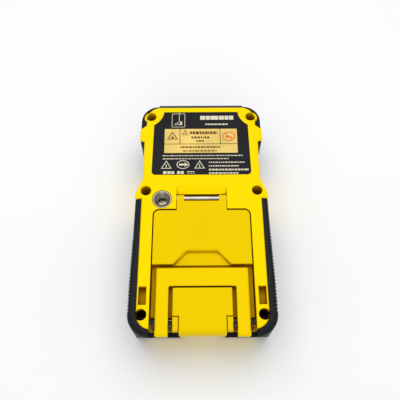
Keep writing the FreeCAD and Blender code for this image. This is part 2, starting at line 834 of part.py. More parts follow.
def grip():
    """The right side grip, ribbed outside and wrapped round the tail corner."""
    shape = rubber_part(-1, grip_top_y - 0.05)
    above = block(-1, opening_half, -1, tail_rubber + 3, low_rubber_top, body_height + 1)
    middle = block(-1, tongue_tip_half_width - 0.2, -1, tail_rubber + 3, -1, body_height + 1)
    shape = shape.cut([above, middle, finger_scoop()])
    count = int((grip_top_y - rib_end_margin - rib_tail_y) / rib_pitch)
    grooves = []
    lean = math.tan(math.radians(rib_lean))
    for i in range(count):
        y = rib_tail_y + i * rib_pitch
        x = rubber_edge(y)
        corners = [Vector(x - rib_depth, y, -1), Vector(x + 1, y - 0.32 * rib_pitch - 0.5, -1),
                   Vector(x + 1, y + 0.32 * rib_pitch + 0.5, -1)]
        face = Part.Face(Part.makePolygon(corners + corners[:1]))
        face.translate(Vector(0, lean * rubber_top, 0))
        grooves.append(face.extrude(Vector(0, -lean * (body_height + 2), body_height + 2)))
    return largest_solid(shape.cut(grooves))


def bumper():
    """The right corner bumper at the laser end."""
    shape = rubber_part(wing_tail_y - 6.5, body_length + 1)
    shape = shape.cut([block(-1, half_width - 10.4, 0, body_length + 2, -1, body_height + 1), wing()])
    return largest_solid(shape)


# ---- display side -----------------------------------------------------------------------------

def key_places():
    """Name, centre and half sizes of each key. A half width of 0 means a round key."""
    row = measure_key_y - 13.6
    low_row = row - key_pitch_y
    last_row = low_row - key_pitch_y
    keys = [("key_measure", 0, measure_key_y, measure_key_radius, 0)]
    keys.append(("key_plus", -side_key_x, measure_key_y, 3.3, 4.6))
    keys.append(("key_minus", side_key_x, measure_key_y, 3.3, 4.6))
    names = ("key_area", "key_volume", "key_indirect", "key_memory", "key_timer", "key_light",
             "key_units", "key_power", "key_clear")
    for i, name in enumerate(names):
        x = (1 - i % 3) * key_pitch_x
        y = (row, low_row, last_row)[i // 3]
        keys.append((name, x, y, key_half_width, key_half_length))
    return keys


def key_form(x, y, half_x, half_y, grow, z0, z1):
    """The plan of a key, grown and given a height."""
    if half_y == 0:
        return rod(half_x + grow, (x, y, z0), (x, y, z1))
    corner = min(key_round, half_x - 0.6) + grow
    form = plate([
        (half_x + grow, -half_y - grow, corner), (half_x + grow, half_y + grow, corner),
        (-half_x - grow, half_y + grow, corner), (-half_x - grow, -half_y - grow, corner)], z0, z1)
    form.translate(Vector(x, y, 0))
    return form


def key(x, y, half_x, half_y):
    """A key cap with its flange behind the panel and its stem."""
    cap = key_form(x, y, half_x, half_y, 0, key_face, key_flange_z + 0.2)
    cap = rounded(cap, key_face, 0.4)
    flange = key_form(x, y, half_x, half_y, key_flange, key_flange_z, key_stem_z)
    stem = rod(key_stem_radius, (x, y, key_stem_z - 0.2), (x, y, key_stem_z + key_stem_height))
    return cap.fuse([flange, stem])


def front_panel():
    """The dark panel round display and keys."""
    panel = plate(panel_points(0), panel_face, panel_back)
    panel = rounded(panel, panel_face, 0.3)
    flange_low = front_face + wall
    flange = plate(panel_points(panel_flange), flange_low, flange_low + 1.0)
    step = plate(panel_points(0), panel_back - 0.2, flange_low + 0.5)
    panel = panel.fuse([step, flange])
    inner = plate(panel_points(-1.2), panel_back, flange_low + 2)
    panel = panel.cut(inner)
    posts = [rod(board_post_radius, (x, y, flange_low + 0.5), (x, y, board_z))
             for x, y in board_screw_places()]
    pilots = [rod(board_screw_radius, (x, y, board_z - board_screw_depth), (x, y, board_z + 1))
              for x, y in board_screw_places()]
    panel = panel.fuse(posts).cut(pilots)
    holes = [key_form(x, y, half_x, half_y, key_gap, panel_face - 1, panel_back + 1)
             for _, x, y, half_x, half_y in key_places()]
    glass = plate(rectangle(window_half_width + 0.1, window_tail_y - 0.1, window_head_y + 0.1, 2.1),
                  panel_face - 1, panel_back + 1)
    return panel.cut(holes + [glass])


def display_window():
    """The clear window over the display."""
    pane = plate(rectangle(window_half_width, window_tail_y, window_head_y, 2.0),
                 panel_face + 0.1, panel_face + 0.1 + window_thickness)
    return rounded(pane, panel_face + 0.1, 0.2)


def display_module():
    """The liquid crystal display in its frame."""
    low = panel_back + 0.2
    frame = plate(rectangle(window_half_width + 1.2, window_tail_y - 1.0, window_head_y + 1.0, 1.0),
                  low, low + display_depth)
    sight = plate(rectangle(window_half_width - 1.6, window_tail_y + 1.6, window_head_y - 1.6, 0.6),
                  low - 1, low + 0.5)
    return frame.cut(sight)


def keypad_mat():
    """The rubber mat with one dome under each key."""
    mat = plate(rectangle(panel_half_width - 1.6, panel_margin + 2.4, measure_key_y + 9.5, 3.0),
                mat_z, mat_z + mat_thickness)
    hollows = [rod(key_stem_radius + 0.6, (x, y, mat_z + 0.4), (x, y, mat_z + mat_thickness + 1))
               for _, x, y, _, _ in key_places()]
    return mat.cut(hollows)


def board_screw_places():
    """The axes of the four screws that hold the circuit board."""
    x = panel_half_width - 0.1
    return [(side * x, y) for side in (-1, 1) for y in (tray_head_y + 4.0, board_head_y - 3.0)]


def main_board():
    """The circuit board."""
    board = plate(rectangle(board_half_width, board_tail_y, board_head_y, 1.5),
                  board_z, board_z + board_thickness)
    holes = [rod(board_screw_radius + 0.1, (x, y, board_z - 1), (x, y, board_z + 3))
             for x, y in board_screw_places()]
    return board.cut(holes)


def board_chips():
    """Processor, memory and power parts on the board's inner side."""
    z0 = board_z + board_thickness
    chips = []
    for x, y, size_x, size_y, height in ((0, 26, 12, 12, 1.4), (-12, 34, 7, 5, 1.2),
                                         (11, 38, 8, 6, 1.2), (-9, 18, 5, 8, 1.0),
                                         (12, 20, 4, 4, 1.8)):
        chips.append(block(x - size_x / 2, x + size_x / 2, y - size_y / 2, y + size_y / 2,
                           z0, z0 + height))
    return Part.makeCompound(chips)


def board_screws():
    """The four screws of the circuit board."""
    z = board_z + board_thickness
    screws = []
    for x, y in board_screw_places():
        head = rod(board_screw_head_radius, (x, y, z), (x, y, z + 1.0))
        slot = block(x - 1.1, x + 1.1, y - 0.2, y + 0.2, z + 0.6, z + 2)
        shank = rod(board_screw_radius, (x, y, board_z - board_screw_depth), (x, y, z + 0.5))
        screws.append(head.fuse(shank).cut(slot))
    return Part.makeCompound(screws)


def buzzer():
    """The small round sounder on the board."""
    z0 = board_z + board_thickness
    y = tray_head_y + 8.5
    can = rod(3.6, (0, y, z0), (0, y, z0 + 2.6))
    return can.cut(rod(0.7, (0, y, z0 + 1.8), (0, y, z0 + 4)))


# ---- laser end ----------------------------------------------------------------------------------

def optics_block():
    """The black block that holds laser and receiver in line."""
    half_z = 8.0
    body = block(-optics_half_width, optics_half_width, optics_tail_y, optics_head_y,
                 optics_z - half_z, optics_z + half_z)
    body = body.makeFillet(1.0, [edge for edge in body.Edges if edge.BoundBox.YLength > 5])
    receiver = rod(receiver_radius + fit_gap, (receiver_x, optics_head_y - lens_thickness - 2, optics_z),
                   (receiver_x, optics_head_y + 1, optics_z))
    cone_start = Vector(receiver_x, optics_head_y - lens_thickness - 2, optics_z)
    cone_length = cone_start.y - optics_tail_y - 2.0
    cone = Part.makeCone(receiver_radius - 0.8, detector_radius, cone_length, cone_start, Vector(0, -1, 0))
    detector = rod(detector_radius + fit_gap, (receiver_x, optics_tail_y - 1, optics_z),
                   (receiver_x, optics_tail_y + 2.2, optics_z))
    emitter = rod(emitter_radius + fit_gap, (emitter_x, optics_head_y - laser_barrel_length, optics_z),
                  (emitter_x, optics_head_y + 1, optics_z))
    wire_way = rod(1.5, (emitter_x, optics_tail_y - 1, optics_z),
                   (emitter_x, optics_head_y - laser_barrel_length + 1, optics_z))
    return body.cut([receiver, cone, detector, emitter, wire_way])


def lens(x, radius, y, thickness):
    """A plano-convex lens, its round side towards the laser end."""
    edge_thickness = thickness * 0.45
    bulge = thickness - edge_thickness
    sphere_radius = (radius * radius + bulge * bulge) / (2 * bulge)
    disc = rod(radius, (x, y, optics_z), (x, y + thickness, optics_z))
    ball = Part.makeSphere(sphere_radius, Vector(x, y + thickness - sphere_radius, optics_z))
    return disc.common(ball)


def laser_module():
    """The brass barrel with the laser diode."""
    y0 = optics_head_y - laser_barrel_length + 0.2
    y1 = optics_head_y - 0.3
    barrel = rod(emitter_radius, (emitter_x, y0, optics_z), (emitter_x, y1, optics_z))
    seat = rod(emitter_radius - 1.0, (emitter_x, y1 - 2.5, optics_z), (emitter_x, y1 + 1, optics_z))
    bore = rod(1.2, (emitter_x, y0 + 4, optics_z), (emitter_x, y1, optics_z))
    return barrel.cut([seat, bore])


def detector_board():
    """The receiver's small board with its detector can."""
    y = optics_tail_y - 0.1
    board = block(receiver_x - 7, receiver_x + 7, y - 1.0, y, optics_z - 6, optics_z + 6)
    can = rod(detector_radius, (receiver_x, y - 0.5, optics_z), (receiver_x, y + 1.9, optics_z))
    return board.fuse(can)


def end_cap():
    """The dark cap at the laser end, with a stepped hole for each window."""
    half = half_width - 10.5
    low = front_face + shell_round
    high = body_height - 0.7
    corners = [Vector(x, head_y, z) for x, z in ((-half, low), (half, low), (half, high), (-half, high))]
    cap = Part.Face(Part.makePolygon(corners + corners[:1])).extrude(Vector(0, cap_thickness, 0))
    cap = cap.makeFillet(0.35, [edge for edge in cap.Edges if edge.BoundBox.YMin > body_length - 0.01])
    holes = []
    for x, radius in ((receiver_x, receiver_radius), (emitter_x, emitter_radius - 0.6)):
        holes.append(rod(radius - window_disc_lip, (x, head_y - 1, optics_z), (x, body_length + 1, optics_z)))
    sleeve_holes = []
    for x, radius in ((receiver_x, receiver_radius), (emitter_x, emitter_radius - 0.6)):
        sleeve_holes.append(rod(radius + fit_gap, (x, head_y - 1, optics_z),
                                (x, head_y + 0.5, optics_z)))
    return cap.cut(holes + sleeve_holes)


def end_windows():
    """The holes in the shells' end walls that the windows and the beams pass."""
    return [rod(radius + fit_gap, (x, head_y - wall - 3, optics_z), (x, head_y + 1, optics_z))
            for x, radius in ((receiver_x, receiver_radius), (emitter_x, emitter_radius - 0.6))]


def window_disc(x, radius):
    """A flat glass window behind the end cap."""
    return rod(radius, (x, head_y + 0.45 - window_disc_thickness, optics_z), (x, head_y + 0.45, optics_z))


# ---- small metal parts and the label -------------------------------------------------------------

def tripod_insert():
    """The plated insert for a tripod screw."""
    top = body_height - 0.1
    low = body_height - insert_length
    body = rod(insert_radius, (-insert_x, insert_y, low), (-insert_x, insert_y, top))
    body = body.makeChamfer(insert_land, level_edges(body, top))
    bore = rod(insert_bore_radius, (-insert_x, insert_y, low - 1), (-insert_x, insert_y, top + 1))
    mouth = Part.makeCone(insert_bore_radius, insert_bore_radius + 0.75, 0.75,
                          Vector(-insert_x, insert_y, top - 0.75), Vector(0, 0, 1))
    return body.cut([bore, mouth])


def hinge_pin():
    """The steel pin of the battery cover."""
    half = pin_half_length
    return rod(pin_radius, (-half, pin_y, pin_z), (half, pin_y, pin_z))


def housing_screws():
    """The six screws that join the shells, with a cross recess in each head."""
    screws = []
    for x, y in screw_places():
        head = rod(screw_head_radius, (x, y, screw_seat_z), (x, y, screw_seat_z + screw_head_height))
        head = head.makeFillet(0.5, level_edges(head, screw_seat_z + screw_head_height))
        shank = rod(screw_shank_radius, (x, y, screw_seat_z - screw_length), (x, y, screw_seat_z + 0.5))
        low = screw_seat_z + screw_head_height - 0.9
        cross = [block(x - 1.3, x + 1.3, y - 0.3, y + 0.3, low, low + 2),
                 block(x - 0.3, x + 0.3, y - 1.3, y + 1.3, low, low + 2)]
        screws.append(head.fuse(shank).cut(cross))
    return Part.makeCompound(screws)


def back_label():
    """The printed label in its recess."""
    low = body_height - label_recess
    return label_plate(0, low, low + label_thickness)


# ---- writing -------------------------------------------------------------------------------------

def write_part(name, shape):
    """Moves a piece so that the origin is the middle of the rest plane, and writes it."""
    moved = shape.copy()
    moved.translate(Vector(0, -body_length / 2, 0))
    moved.exportStep(os.path.join("parts", name + ".step"))


def build():
    """Makes every piece of the meter."""
    end_holes = end_windows()
    pieces = {
        "rear_shell": largest_solid(rear_shell().cut(end_holes)),
        "front_shell": largest_solid(front_shell().cut(end_holes)),
        "housing_seal": seal_ring(0),
        "housing_screws": housing_screws(),
        "grip_right": grip(),
        "bumper_right": bumper(),
        "end_cap": end_cap(),
        "back_label": back_label(),
        "tripod_insert": tripod_insert(),
        "hinge_pin": hinge_pin(),
        "battery_cover": battery_cover(),
        "cover_gasket": cover_gasket(),
        "end_piece": end_piece(),
        "battery_tray": battery_tray(),
        "contact_plates_tail": contact_plates(bay_tail_y),
        "contact_plates_head": contact_plates(bay_tail_y + bay_length - contact_thickness),
        "contact_springs": contact_springs(),
        "front_panel": front_panel(),
        "display_window": display_window(),
        "display_module": display_module(),
        "keypad_mat": keypad_mat(),
        "main_board": main_board(),
        "board_chips": board_chips(),
        "board_screws": board_screws(),
        "buzzer": buzzer(),
        "optics_block": optics_block(),
        "laser_module": laser_module(),
        "emitter_lens": lens(emitter_x, emitter_radius - 1.05, optics_head_y - 2.75, 2.0),
        "receiver_lens": lens(receiver_x, receiver_radius, optics_head_y - lens_thickness - 1.9,
                              lens_thickness),
        "detector_board": detector_board(),
        "window_receiver": window_disc(receiver_x, receiver_radius),
        "window_emitter": window_disc(emitter_x, emitter_radius - 0.6),
    }
    pieces["grip_left"] = mirrored(pieces["grip_right"])
    pieces["bumper_left"] = mirrored(pieces["bumper_right"])
    for name, shape in (("hinge_block", hinge_block()), ("pivot_pin", pivot_pin()),
                        ("friction_washer", friction_washer()), ("pivot_clip", pivot_clip())):
        pieces[name + "_right"] = shape
        pieces[name + "_left"] = mirrored(shape)
    for number, (x, direction) in enumerate(cell_places(), 1):
        pieces["battery_cell_%d" % number] = battery_cell(x, direction)
    for name, x, y, half_x, half_y in key_places():
        pieces[name] = key(x, y, half_x, half_y)
    return pieces


os.makedirs("parts", exist_ok=True)
for part_name, part_shape in build().items():
    write_part(part_name, part_shape)
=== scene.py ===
"""Finishes, print and small fittings of a laser distance meter: an add-on that runs as a script."""
import json
import math
import random

import bpy
from bpy.props import FloatProperty, FloatVectorProperty, IntProperty, PointerProperty
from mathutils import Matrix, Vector

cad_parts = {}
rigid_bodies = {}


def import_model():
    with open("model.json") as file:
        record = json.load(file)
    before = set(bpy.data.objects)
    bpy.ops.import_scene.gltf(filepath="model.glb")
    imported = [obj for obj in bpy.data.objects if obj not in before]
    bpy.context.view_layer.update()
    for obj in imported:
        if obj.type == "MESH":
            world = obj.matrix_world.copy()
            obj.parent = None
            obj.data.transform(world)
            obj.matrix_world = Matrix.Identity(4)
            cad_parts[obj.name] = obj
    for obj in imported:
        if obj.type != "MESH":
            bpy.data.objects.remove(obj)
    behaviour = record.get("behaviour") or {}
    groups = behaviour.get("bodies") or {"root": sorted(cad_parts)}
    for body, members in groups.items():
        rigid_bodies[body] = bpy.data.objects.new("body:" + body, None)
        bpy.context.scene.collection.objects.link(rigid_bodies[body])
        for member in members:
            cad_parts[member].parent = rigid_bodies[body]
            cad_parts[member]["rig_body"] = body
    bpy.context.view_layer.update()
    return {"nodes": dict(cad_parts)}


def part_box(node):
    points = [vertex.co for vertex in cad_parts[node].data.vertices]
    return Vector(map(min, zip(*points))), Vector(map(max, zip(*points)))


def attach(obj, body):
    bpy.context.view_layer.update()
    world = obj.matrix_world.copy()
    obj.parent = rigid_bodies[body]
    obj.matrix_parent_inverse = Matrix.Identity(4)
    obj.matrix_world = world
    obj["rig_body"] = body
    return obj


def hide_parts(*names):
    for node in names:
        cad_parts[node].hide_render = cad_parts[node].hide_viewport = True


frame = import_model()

bl_info = {
    "name": "Laser distance meter",
    "version": (1, 0, 0),
    "blender": (4, 5, 0),
    "location": "3D View > Sidebar > Meter",
    "description": "Gives the packed distance meter its finishes, print, fittings and stage",
    "category": "Object",
}

MM = 0.001


# ---- settings that a user may change --------------------------------------------------------------

def colour_setting(name, description, default):
    """A colour that the sidebar shows."""
    return FloatVectorProperty(name=name, description=description, default=default,
                               subtype="COLOR", size=3, min=0.0, max=1.0)


def length_setting(name, description, default):
    """A length in metres."""
    return FloatProperty(name=name, description=description, default=default, subtype="DISTANCE",
                         unit="LENGTH", precision=5, min=0.0)


def offset_setting(name, description, default):
    """A length in metres that may be below zero."""
    return FloatProperty(name=name, description=description, default=default, subtype="DISTANCE",
                         unit="LENGTH", precision=5)


class MeterColours(bpy.types.PropertyGroup):
    """The colours of the plastics, the rubber and the print, and one colour of painted shade for crevices.
    """
    housing: colour_setting("Housing", "Yellow plastic of the two shells", (0.95, 0.675, 0.0))
    # Painted shade: the cover's yellow is set darker than the housing's, although both are the same plastic.
    cover: colour_setting("Cover", "Yellow plastic of the battery cover and end piece", (0.80, 0.55, 0.0))
    # Painted shade: moulded plastic is darkened towards this brown where ambient occlusion finds gaps and
    # wells.
    crevice_shade: colour_setting("Crevice", "Painted shade laid into gaps and wells", (0.28, 0.07, 0.0))
    rubber: colour_setting("Rubber", "Grips and bumpers", (0.007, 0.0075, 0.010))
    film: colour_setting("Label film", "Ground of the printed label", (0.007, 0.007, 0.010))
    cream: colour_setting("Notice panel", "Pale panel printed on the label", (0.80, 0.57, 0.15))
    pale_ink: colour_setting("Pale ink", "Marks on the dark ground", (0.66, 0.61, 0.44))
    brown_ink: colour_setting("Brown ink", "Marks on the pale panel", (0.13, 0.055, 0.012))
    red_ink: colour_setting("Red ink", "The prohibition ring", (0.75, 0.16, 0.03))
    measure_key: colour_setting("Measuring key", "The large round key", (0.55, 0.02, 0.015))
    grey_key: colour_setting("Other keys", "The small keys", (0.16, 0.165, 0.17))
    sleeve: colour_setting("Cell sleeve", "Printed sleeve of a battery cell", (0.02, 0.10, 0.17))


class MeterSizes(bpy.types.PropertyGroup):
    """Sizes of the print, the thread and the springs."""
    ink: length_setting("Ink film", "How far print stands above its ground", 0.02 * MM)
    thread_pitch: length_setting("Thread pitch", "Rise of the tripod thread in one turn", 1.27 * MM)
    thread_root: length_setting("Thread root radius", "Bore of the insert between the threads", 3.1 * MM)
    thread_crest: length_setting("Thread crest radius", "Free radius inside the thread", 2.58 * MM)
    insert_radius: length_setting("Insert radius", "Outer radius of the tripod insert", 4.5 * MM)
    coil_radius: length_setting("Coil radius", "Mean radius of a contact spring at its base", 3.2 * MM)
    coil_wire: length_setting("Coil wire radius", "Radius of the contact spring's wire", 0.3 * MM)
    sleeve_wall: length_setting("Sleeve wall", "Thickness of a cell's printed sleeve", 0.06 * MM)


class MeterStage(bpy.types.PropertyGroup):
    """Camera, lights and floor."""
    elevation: FloatProperty(name="Camera elevation", description="Angle above the horizon",
                             default=math.radians(64.0), subtype="ANGLE", unit="ROTATION")
    yaw: FloatProperty(name="Camera yaw", description="Turn of the camera about the vertical",
                       default=math.radians(-0.37), subtype="ANGLE", unit="ROTATION")
    lens: FloatProperty(name="Focal length", description="Lens of the camera in millimetres",
                        default=43.9, min=1.0)
    camera_x: offset_setting("Camera offset", "Sideways offset of the camera", -1.37 * MM)
    camera_y: length_setting("Camera reach", "How far before the middle the camera stands", 92.8 * MM)
    camera_z: length_setting("Camera height", "Height of the camera over the floor", 226.7 * MM)
    world: FloatProperty(name="Room light", description="Strength of the even light all round",
                         default=0.66, min=0.0)
    top: FloatProperty(name="Overhead light", description="Power of the overhead softbox in watts",
                       default=3.7, min=0.0)
    front: FloatProperty(name="Front light", description="Power of the front softbox in watts",
                         default=0.6, min=0.0)
    floor: colour_setting("Floor", "Colour of the table", (0.86, 0.865, 0.87))
    floor_segments: IntProperty(name="Floor segments", description="Sides of the round table",
                                default=96, min=12)


# ---- materials ------------------------------------------------------------------------------------

class Wire:
    """A value in a node tree. Arithmetic on it adds Math nodes."""

    def __init__(self, tree, socket):
        self.tree, self.socket = tree, socket

    def maths(self, operation, *values):
        node = self.tree.nodes.new("ShaderNodeMath")
        node.operation = operation
        for inlet, value in zip(node.inputs, values):
            connect(self.tree, inlet, value)
        return Wire(self.tree, node.outputs[0])

    def __add__(self, other):
        return self.maths("ADD", self, other)

    def __sub__(self, other):
        return self.maths("SUBTRACT", self, other)

    def __rsub__(self, other):
        return self.maths("SUBTRACT", other, self)

    def __mul__(self, other):
        return self.maths("MULTIPLY", self, other)

    def __abs__(self):
        return self.maths("ABSOLUTE", self)

    __radd__, __rmul__ = __add__, __mul__


def connect(tree, inlet, value):
    """Links a Wire to a socket, or sets the socket's value."""
    if isinstance(value, Wire):
        tree.links.new(value.socket, inlet)
    elif hasattr(inlet.default_value, "__len__") and len(inlet.default_value) == 4:
        inlet.default_value = (*value[:3], 1.0)
    else:
        inlet.default_value = value


class Finish:
    """A material as it is built. Its patterns read Object coordinates, in metres."""

    def __init__(self, name, **constants):
        self.material = bpy.data.materials.new(name)
        self.material.use_nodes = True
        self.tree = self.material.node_tree
        self.tree.nodes.clear()
        self.shader = self.tree.nodes.new("ShaderNodeBsdfPrincipled")
        outlet = self.tree.nodes.new("ShaderNodeOutputMaterial")
        self.tree.links.new(self.shader.outputs[0], outlet.inputs[0])
        self.place = self.node("TexCoord", output="Object")
        for name, value in constants.items():
            self.set(name.replace("_", " "), value)

    def node(self, kind, settings=None, sockets=None, output=0):
        """Adds a node: its settings are set first, then its sockets."""
        node = self.tree.nodes.new("ShaderNode" + kind)
        for key, value in (settings or {}).items():
            setattr(node, key, value)
        for key, value in (sockets or {}).items():
            connect(self.tree, node.inputs[key], value)
        return Wire(self.tree, node.outputs[output])

    def set(self, name, value):
        connect(self.tree, self.shader.inputs[name], value)

    def noise(self, size, detail=2.0, stretch=(1, 1, 1), rough=0.5):
        """Noise whose features are about this size, in metres, drawn out along an axis by stretch."""
        where = self.node("VectorMath", {"operation": "MULTIPLY"},
                          {0: self.place, 1: [1 / (size * s) for s in stretch]})
        return self.node("TexNoise", None, {"Vector": where, "Scale": 1.0, "Detail": detail,
                                            "Roughness": rough})

    def cells(self, size, feature="F1"):
        """Distance to the nearest of scattered points that are about this far apart, in sizes."""
        return self.node("TexVoronoi", {"feature": feature},
                         {"Vector": self.place, "Scale": 1 / size})

    def axis(self, index):
        """The x, y or z coordinate in metres."""
        return self.node("SeparateXYZ", None, {0: self.place}, output=index)

    def span(self, value, low, high, start=0.0, end=1.0):
        """Brings the range from low to high to the range from start to end, clamped."""
        return self.node("MapRange", {"clamp": True, "interpolation_type": "SMOOTHSTEP"},
                         {0: value, 1: low, 2: high, 3: start, 4: end})

    def mix(self, factor, first, second):
        """From the first colour to the second as the factor goes from 0 to 1."""
        return self.node("Mix", {"data_type": "RGBA"}, {0: factor, 6: first, 7: second}, output=2)

    def edges(self, radius):
        """1 at sharp outer and inner edges within this radius, and 0 on flat ground."""
        soft = self.node("Bevel", {"samples": 4}, {"Radius": radius})
        hard = self.node("NewGeometry", output="Normal")
        along = self.node("VectorMath", {"operation": "DOT_PRODUCT"}, {0: soft, 1: hard},
                          output="Value")
        return self.span(1 - along, 0.02, 0.22)

    def shelter(self, distance):
        """1 deep in gaps and wells, and 0 in the open."""
        light = self.node("AmbientOcclusion", {"samples": 6}, {"Distance": distance}, output="AO")
        return 1 - light

    def bump(self, height, depth, strength=1.0):
        """Raises the surface by height times depth, in metres."""
        self.set("Normal", self.node("Bump", None, {"Height": height, "Distance": depth,
                                                    "Strength": strength}))


def shade(colour, amount):
    """The colour made lighter or darker by a factor."""
    return [min(1.0, part * amount) for part in colour]


def moulded_plastic(name, colour, crevice_shade, roughness=0.42):
    """Spark-eroded moulded plastic: fine grain, faint clouding, polished edges with a painted highlight, and
    painted shade deep in gaps and wells.
    """
    f = Finish(name, Specular_IOR_Level=0.12, Specular_Tint=(1.0, 0.8, 0.1))
    cloud = f.noise(22 * MM, detail=3)
    fine = f.noise(0.35 * MM, detail=2)
    scuffs = f.noise(0.5 * MM, detail=3, stretch=(1, 14, 1))
    edge = f.edges(0.35 * MM)
    hidden = f.shelter(5.0 * MM)
    base = f.mix(cloud, shade(colour, 0.955), shade(colour, 1.04))
    # Painted highlight: the colour turns lighter along edges. The lower roughness there, below, is real
    # polish.
    base = f.mix(edge * 0.5, base, shade(colour, 1.12))
    # Painted shade: the colour darkens towards the crevice brown deep in gaps, wells and recesses.
    base = f.mix(f.span(hidden, 0.32, 0.76, 0.0, 0.97), base, crevice_shade)
    f.set("Base Color", base)
    worn = f.span(scuffs, 0.56, 0.72, 0.0, 0.09)
    f.set("Roughness", roughness + (fine - 0.5) * 0.16 - worn - edge * 0.08)
    f.bump(fine + f.noise(1.2 * MM) * 0.6, 0.02 * MM, 0.5)
    return f.material


def grip_rubber(name, colour):
    """Matt moulded rubber with dust in its low places and rubbed high places."""
    f = Finish(name, Specular_IOR_Level=0.14)
    fine = f.noise(0.22 * MM, detail=3)
    broad = f.noise(9 * MM, detail=4)
    edge = f.edges(0.3 * MM)
    dust = f.span(f.shelter(2.0 * MM), 0.35, 0.9, 0.0, 0.25)
    base = f.mix(broad, shade(colour, 0.8), shade(colour, 1.35))
    base = f.mix(dust, base, shade(colour, 2.2))
    base = f.mix(edge * 0.4, base, shade(colour, 2.0))
    f.set("Base Color", base)
    f.set("Roughness", 0.52 + (fine - 0.5) * 0.2 + (broad - 0.5) * 0.12 - edge * 0.08)
    f.bump(fine, 0.03 * MM, 0.5)
    return f.material


def dark_plastic(name, colour, roughness=0.4, grain=0.3 * MM):
    """Black or grey moulded plastic with a leather-fine grain."""
    f = Finish(name, Specular_IOR_Level=0.4)
    fine = f.noise(grain, detail=2)
    pits = f.cells(grain * 2.2)
    broad = f.noise(14 * MM, detail=3)
    edge = f.edges(0.25 * MM)
    base = f.mix(broad, shade(colour, 0.82), shade(colour, 1.2))
    f.set("Base Color", f.mix(edge * 0.45, base, shade(colour, 2.2)))
    f.set("Roughness", roughness + (fine - 0.5) * 0.18 - edge * 0.07)
    f.bump(pits * 0.6 + fine * 0.5, 0.025 * MM, 0.4)
    return f.material


def printed_film(name, colour, roughness=0.34, ground=None):
    """A printed film: even colour with a faint screen, hairline scratches and rubbed spots."""
    f = Finish(name, Specular_IOR_Level=0.1)
    screen = f.noise(0.18 * MM, detail=1)
    scratch = f.noise(0.25 * MM, detail=3, stretch=(22, 1, 1))
    broad = f.noise(11 * MM, detail=4)
    base = f.mix(f.span(broad, 0.3, 0.7), shade(colour, 0.88), shade(colour, 1.08))
    base = f.mix(f.span(screen, 0.52, 0.74, 0.0, 0.16), base, ground or shade(colour, 1.6))
    f.set("Base Color", base)
    f.set("Roughness", roughness + (screen - 0.5) * 0.12 - f.span(scratch, 0.58, 0.7, 0.0, 0.1))
    f.bump(screen + scratch * 0.4, 0.006 * MM, 0.4)
    return f.material


def bright_metal(name, colour, roughness, grain=(1, 1, 1), size=0.4 * MM, gap_shade=(0.25, 0.2, 0.15)):
    """Plated or ground metal: tool lines along one way, cloudy tarnish and painted shade in gaps."""
    f = Finish(name, Metallic=1.0)
    lines = f.noise(size, detail=3, stretch=grain)
    tarnish = f.noise(2.6 * MM, detail=4)
    hidden = f.span(f.shelter(1.5 * MM), 0.4, 0.95, 0.0, 0.6)
    base = f.mix(f.span(tarnish, 0.4, 0.75), colour, shade(colour, 0.72))
    # Painted shade: the colour darkens deep in gaps, bores and wells.
    base = f.mix(hidden, base, gap_shade)
    f.set("Base Color", base)
    f.set("Roughness", roughness + (lines - 0.5) * 0.2 + f.span(tarnish, 0.45, 0.8, 0.0, 0.12))
    f.bump(lines, 0.012 * MM, 0.35)
    return f.material


def clear_plate(name, tint, roughness=0.04):
    """Clear glass or acrylic with a faint coating tint and finger haze."""
    f = Finish(name, IOR=1.49, Transmission_Weight=1.0, Specular_IOR_Level=0.5)
    haze = f.noise(7 * MM, detail=4)
    wipe = f.noise(0.5 * MM, detail=2, stretch=(9, 2, 1))
    f.set("Base Color", f.mix(f.span(haze, 0.35, 0.75), tint, shade(tint, 0.9)))
    f.set("Roughness", roughness + f.span(haze, 0.5, 0.8, 0.0, 0.07) + f.span(wipe, 0.6, 0.8, 0.0, 0.03))
    f.bump(wipe, 0.002 * MM, 0.2)
    return f.material


def foam(name, colour):
    """Closed-cell foam."""
    f = Finish(name, Specular_IOR_Level=0.2)
    pores = f.cells(0.28 * MM)
    broad = f.noise(3 * MM, detail=3)
    f.set("Base Color", f.mix(f.span(pores, 0.1, 0.6), shade(colour, 0.45),
                              f.mix(broad, colour, shade(colour, 1.4))))
    f.set("Roughness", 0.86 + (broad - 0.5) * 0.16)
    f.bump(pores, 0.06 * MM, 0.8)
    return f.material


def circuit_laminate(name, colour):
    """Solder mask over copper tracks, with bare pads."""
    f = Finish(name, Specular_IOR_Level=0.5)
    tracks = f.node("TexWave", {"wave_type": "BANDS", "bands_direction": "DIAGONAL"},
                    {"Vector": f.place, "Scale": 260.0, "Distortion": 3.5, "Detail": 0.0}, output=1)
    spots = f.cells(2.4 * MM)
    weave = f.noise(0.3 * MM, detail=1)
    track = f.span(tracks, 0.62, 0.7)
    pad = 1 - f.span(spots, 0.10, 0.14)
    base = f.mix(track, colour, shade(colour, 1.9))
    base = f.mix(f.span(weave, 0.4, 0.7, 0.0, 0.25), base, shade(colour, 0.6))
    f.set("Base Color", f.mix(pad, base, (0.82, 0.62, 0.30)))
    f.set("Metallic", pad)
    f.set("Roughness", 0.32 + (weave - 0.5) * 0.12 + pad * 0.08)
    f.bump(track * 0.7 + pad, 0.03 * MM, 0.5)
    return f.material


def cell_can(name, button_side, middle):
    """A battery cell's steel can: crimp lines, and a darker band round its button end."""
    f = Finish(name, Metallic=1.0)
    along = f.axis(1) - middle
    lines = f.noise(0.3 * MM, detail=3, stretch=(1, 8, 1))
    stain = f.noise(1.8 * MM, detail=4)
    end = f.span(along * button_side, 21.2 * MM, 21.5 * MM)
    base = f.mix(stain, (0.62, 0.60, 0.57), (0.82, 0.80, 0.76))
    f.set("Base Color", f.mix(end, base, (0.86, 0.82, 0.70)))
    f.set("Roughness", 0.26 + (lines - 0.5) * 0.2 + stain * 0.08)
    f.bump(lines, 0.01 * MM, 0.3)
    return f.material


